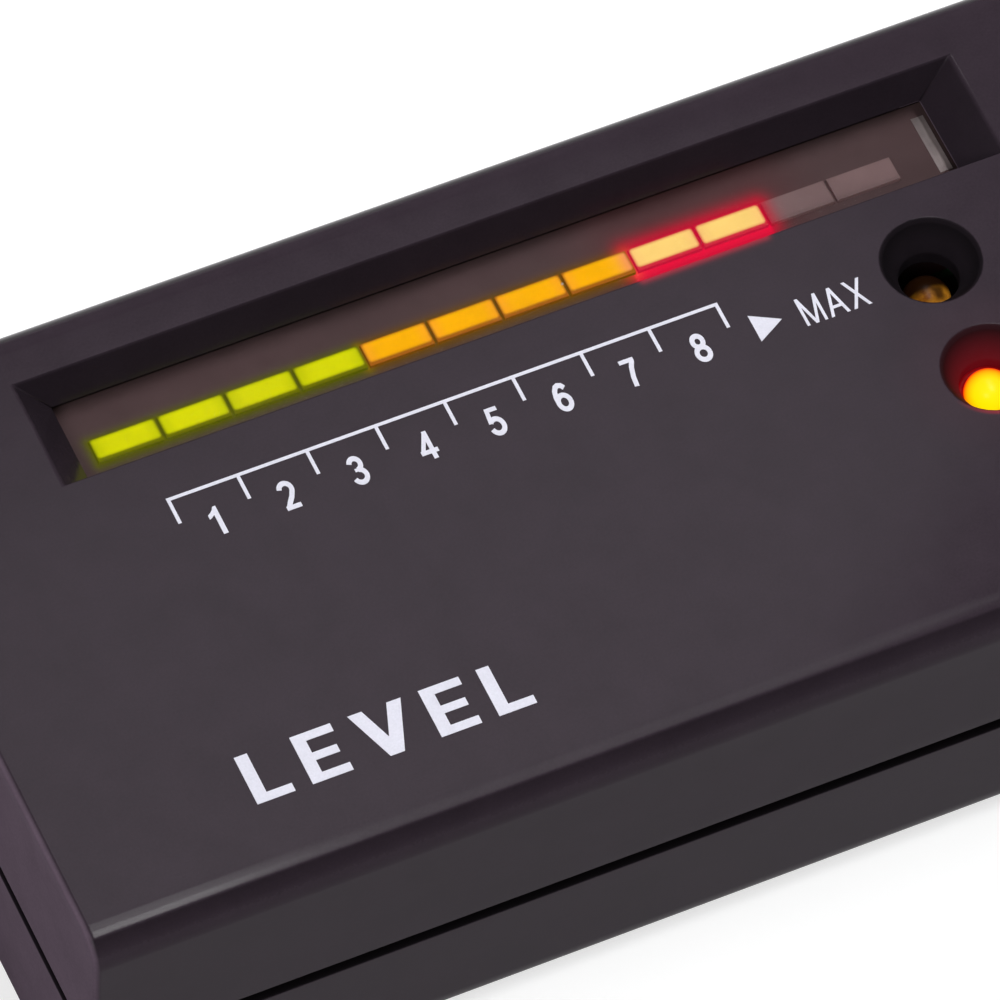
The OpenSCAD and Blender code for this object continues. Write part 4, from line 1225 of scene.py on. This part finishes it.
def lay_floor(stage):
    """A wide pale floor that keeps the shadow, and that is clear when seen from below."""
    # a hair below the foot, so that the two never share a plane
    lowered = Matrix.Translation((0, 0, -0.05 * MM))
    shape = bmesh.new()
    bmesh.ops.create_grid(shape, x_segments=8, y_segments=8, size=6, matrix=lowered)
    material = bpy.data.materials.new("pale floor")
    material.use_nodes = True
    tree = material.node_tree
    tree.nodes.clear()
    path = tree.nodes.new("ShaderNodeLightPath").outputs
    seen = calc(tree, "MAXIMUM", path["Is Camera Ray"], path["Is Glossy Ray"])
    seen = calc(tree, "MAXIMUM", seen, path["Is Transmission Ray"])
    paper = noise(tree, place_of(tree), 900.0)
    shader = tree.nodes.new("ShaderNodeBsdfDiffuse")
    paper = tint(tree, tuple(stage.floor), vary(tree, paper, 0.99, 1.01))
    feed(tree, paper, shader.inputs["Color"])
    glow = add_node(tree, "ShaderNodeEmission", {"Strength": product(tree, seen, stage.floor_white)})
    both = add_node(tree, "ShaderNodeAddShader", {0: shader.outputs[0], 1: glow.outputs[0]})
    behind = tree.nodes.new("ShaderNodeNewGeometry").outputs["Backfacing"]
    clear = tree.nodes.new("ShaderNodeBsdfTransparent")
    either = add_node(tree, "ShaderNodeMixShader", {0: behind, 1: both.outputs[0], 2: clear.outputs[0]})
    output = tree.nodes.new("ShaderNodeOutputMaterial")
    tree.links.new(either.outputs[0], output.inputs[0])
    floor = add_piece("floor", shape, material)
    if floor.data.polygons[0].normal.z < 0:
        floor.data.flip_normals()


def light_world(scene, stage):
    """White where it is seen; for the light, a soft sky that is dark on the near side."""
    world = bpy.data.worlds.new("studio")
    scene.world = world
    world.use_nodes = True
    tree = world.node_tree
    tree.nodes.clear()
    path = tree.nodes.new("ShaderNodeLightPath").outputs
    _, y, z = parts_of(tree, tree.nodes.new("ShaderNodeTexCoord").outputs["Generated"])
    front = remap(tree, y, -0.3, -0.18, 1.0, 0.0, soft=True)
    sky = remap(tree, z, 0.2, 0.5, 0.107, stage.sky, soft=True)
    dark = remap(tree, z, 0.0, 0.55, 0.113, 0.02)
    lit = product(tree, calc(tree, "SUBTRACT", 1.0, front), sky)
    level = calc(tree, "ADD", product(tree, front, dark), lit)
    # metal and glass see the white backdrop where it stands, round the edge of the floor
    mirrored = calc(tree, "MAXIMUM", path["Is Glossy Ray"], path["Is Transmission Ray"])
    edge = remap(tree, y, -0.2, 0.2, 0.3, 0.1)
    backdrop = product(tree, mirrored, remap(tree, z, 0.0, edge, 1.0, 0.0, soft=True))
    level = calc(tree, "MAXIMUM", level, calc(tree, "MAXIMUM", path["Is Camera Ray"], backdrop))
    shown = add_node(tree, "ShaderNodeBackground", {"Color": (1, 1, 1, 1), "Strength": level})
    output = tree.nodes.new("ShaderNodeOutputWorld")
    tree.links.new(shown.outputs[0], output.inputs[0])


def area_light(name, place, target, size, watts):
    """A soft rectangular light that the camera doesn't see."""
    lamp = bpy.data.lights.new(name, "AREA")
    lamp.shape = "RECTANGLE"
    lamp.size, lamp.size_y = size
    lamp.energy = watts
    light = bpy.data.objects.new(name, lamp)
    light.location = place
    light.rotation_euler = (Vector(target) - Vector(place)).to_track_quat("-Z", "Y").to_euler()
    light.visible_camera = False
    bpy.context.scene.collection.objects.link(light)
    return light


def set_camera(scene):
    """The viewing angle of the photograph: a long lens, close on the butt end."""
    lens = bpy.data.cameras.new("camera")
    lens.sensor_width = 36
    lens.lens = 415.83
    camera = bpy.data.objects.new("camera", lens)
    right = Vector((0.90942, -0.41411, 0.03835))
    up = Vector((0.32693, 0.76886, 0.54952))
    back = Vector((-0.25704, -0.48721, 0.8346))
    place = Vector((BUTT_X - 0.15913, -0.377315, 0.667781))
    camera.matrix_world = Matrix.Translation(place) @ Matrix((right, up, back)).transposed().to_4x4()
    scene.collection.objects.link(camera)
    scene.camera = camera


OPERATORS = (
    TESTER_OT_case, TESTER_OT_display, TESTER_OT_lamps, TESTER_OT_metal, TESTER_OT_inside,
    TESTER_OT_print, TESTER_OT_stage,
)


class TESTER_PT_panel(bpy.types.Panel):
    """The steps that dress the tester"""

    bl_idname = "TESTER_PT_panel"
    bl_label = "Gem Tester"
    bl_space_type = "VIEW_3D"
    bl_region_type = "UI"
    bl_category = "Gem Tester"

    def draw(self, context):
        for operator in OPERATORS:
            self.layout.operator(operator.bl_idname)


SETTINGS = {"tester_finish": TesterFinish, "tester_print": TesterPrint, "tester_stage": TesterStage}
GROUPS = (grain_group, edge_group, glow_group, bar_group, brush_group, dust_group, smooth_group)


def register():
    """Register the settings, the operators and the panel."""
    for kind in (*SETTINGS.values(), *OPERATORS, TESTER_PT_panel):
        bpy.utils.register_class(kind)
    for name, kind in SETTINGS.items():
        setattr(bpy.types.Scene, name, bpy.props.PointerProperty(type=kind))


def unregister():
    """Take the settings, the operators and the panel out again."""
    for name in SETTINGS:
        delattr(bpy.types.Scene, name)
    for kind in reversed((*SETTINGS.values(), *OPERATORS, TESTER_PT_panel)):
        bpy.utils.unregister_class(kind)


def main():
    """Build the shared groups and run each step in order."""
    register()
    for build in GROUPS:
        build()
    bpy.ops.tester.case()
    bpy.ops.tester.display()
    bpy.ops.tester.lamps()
    bpy.ops.tester.metal()
    bpy.ops.tester.inside()
    bpy.ops.tester.print_scale()
    bpy.ops.tester.stage()


if __name__ == "__main__":
    main()
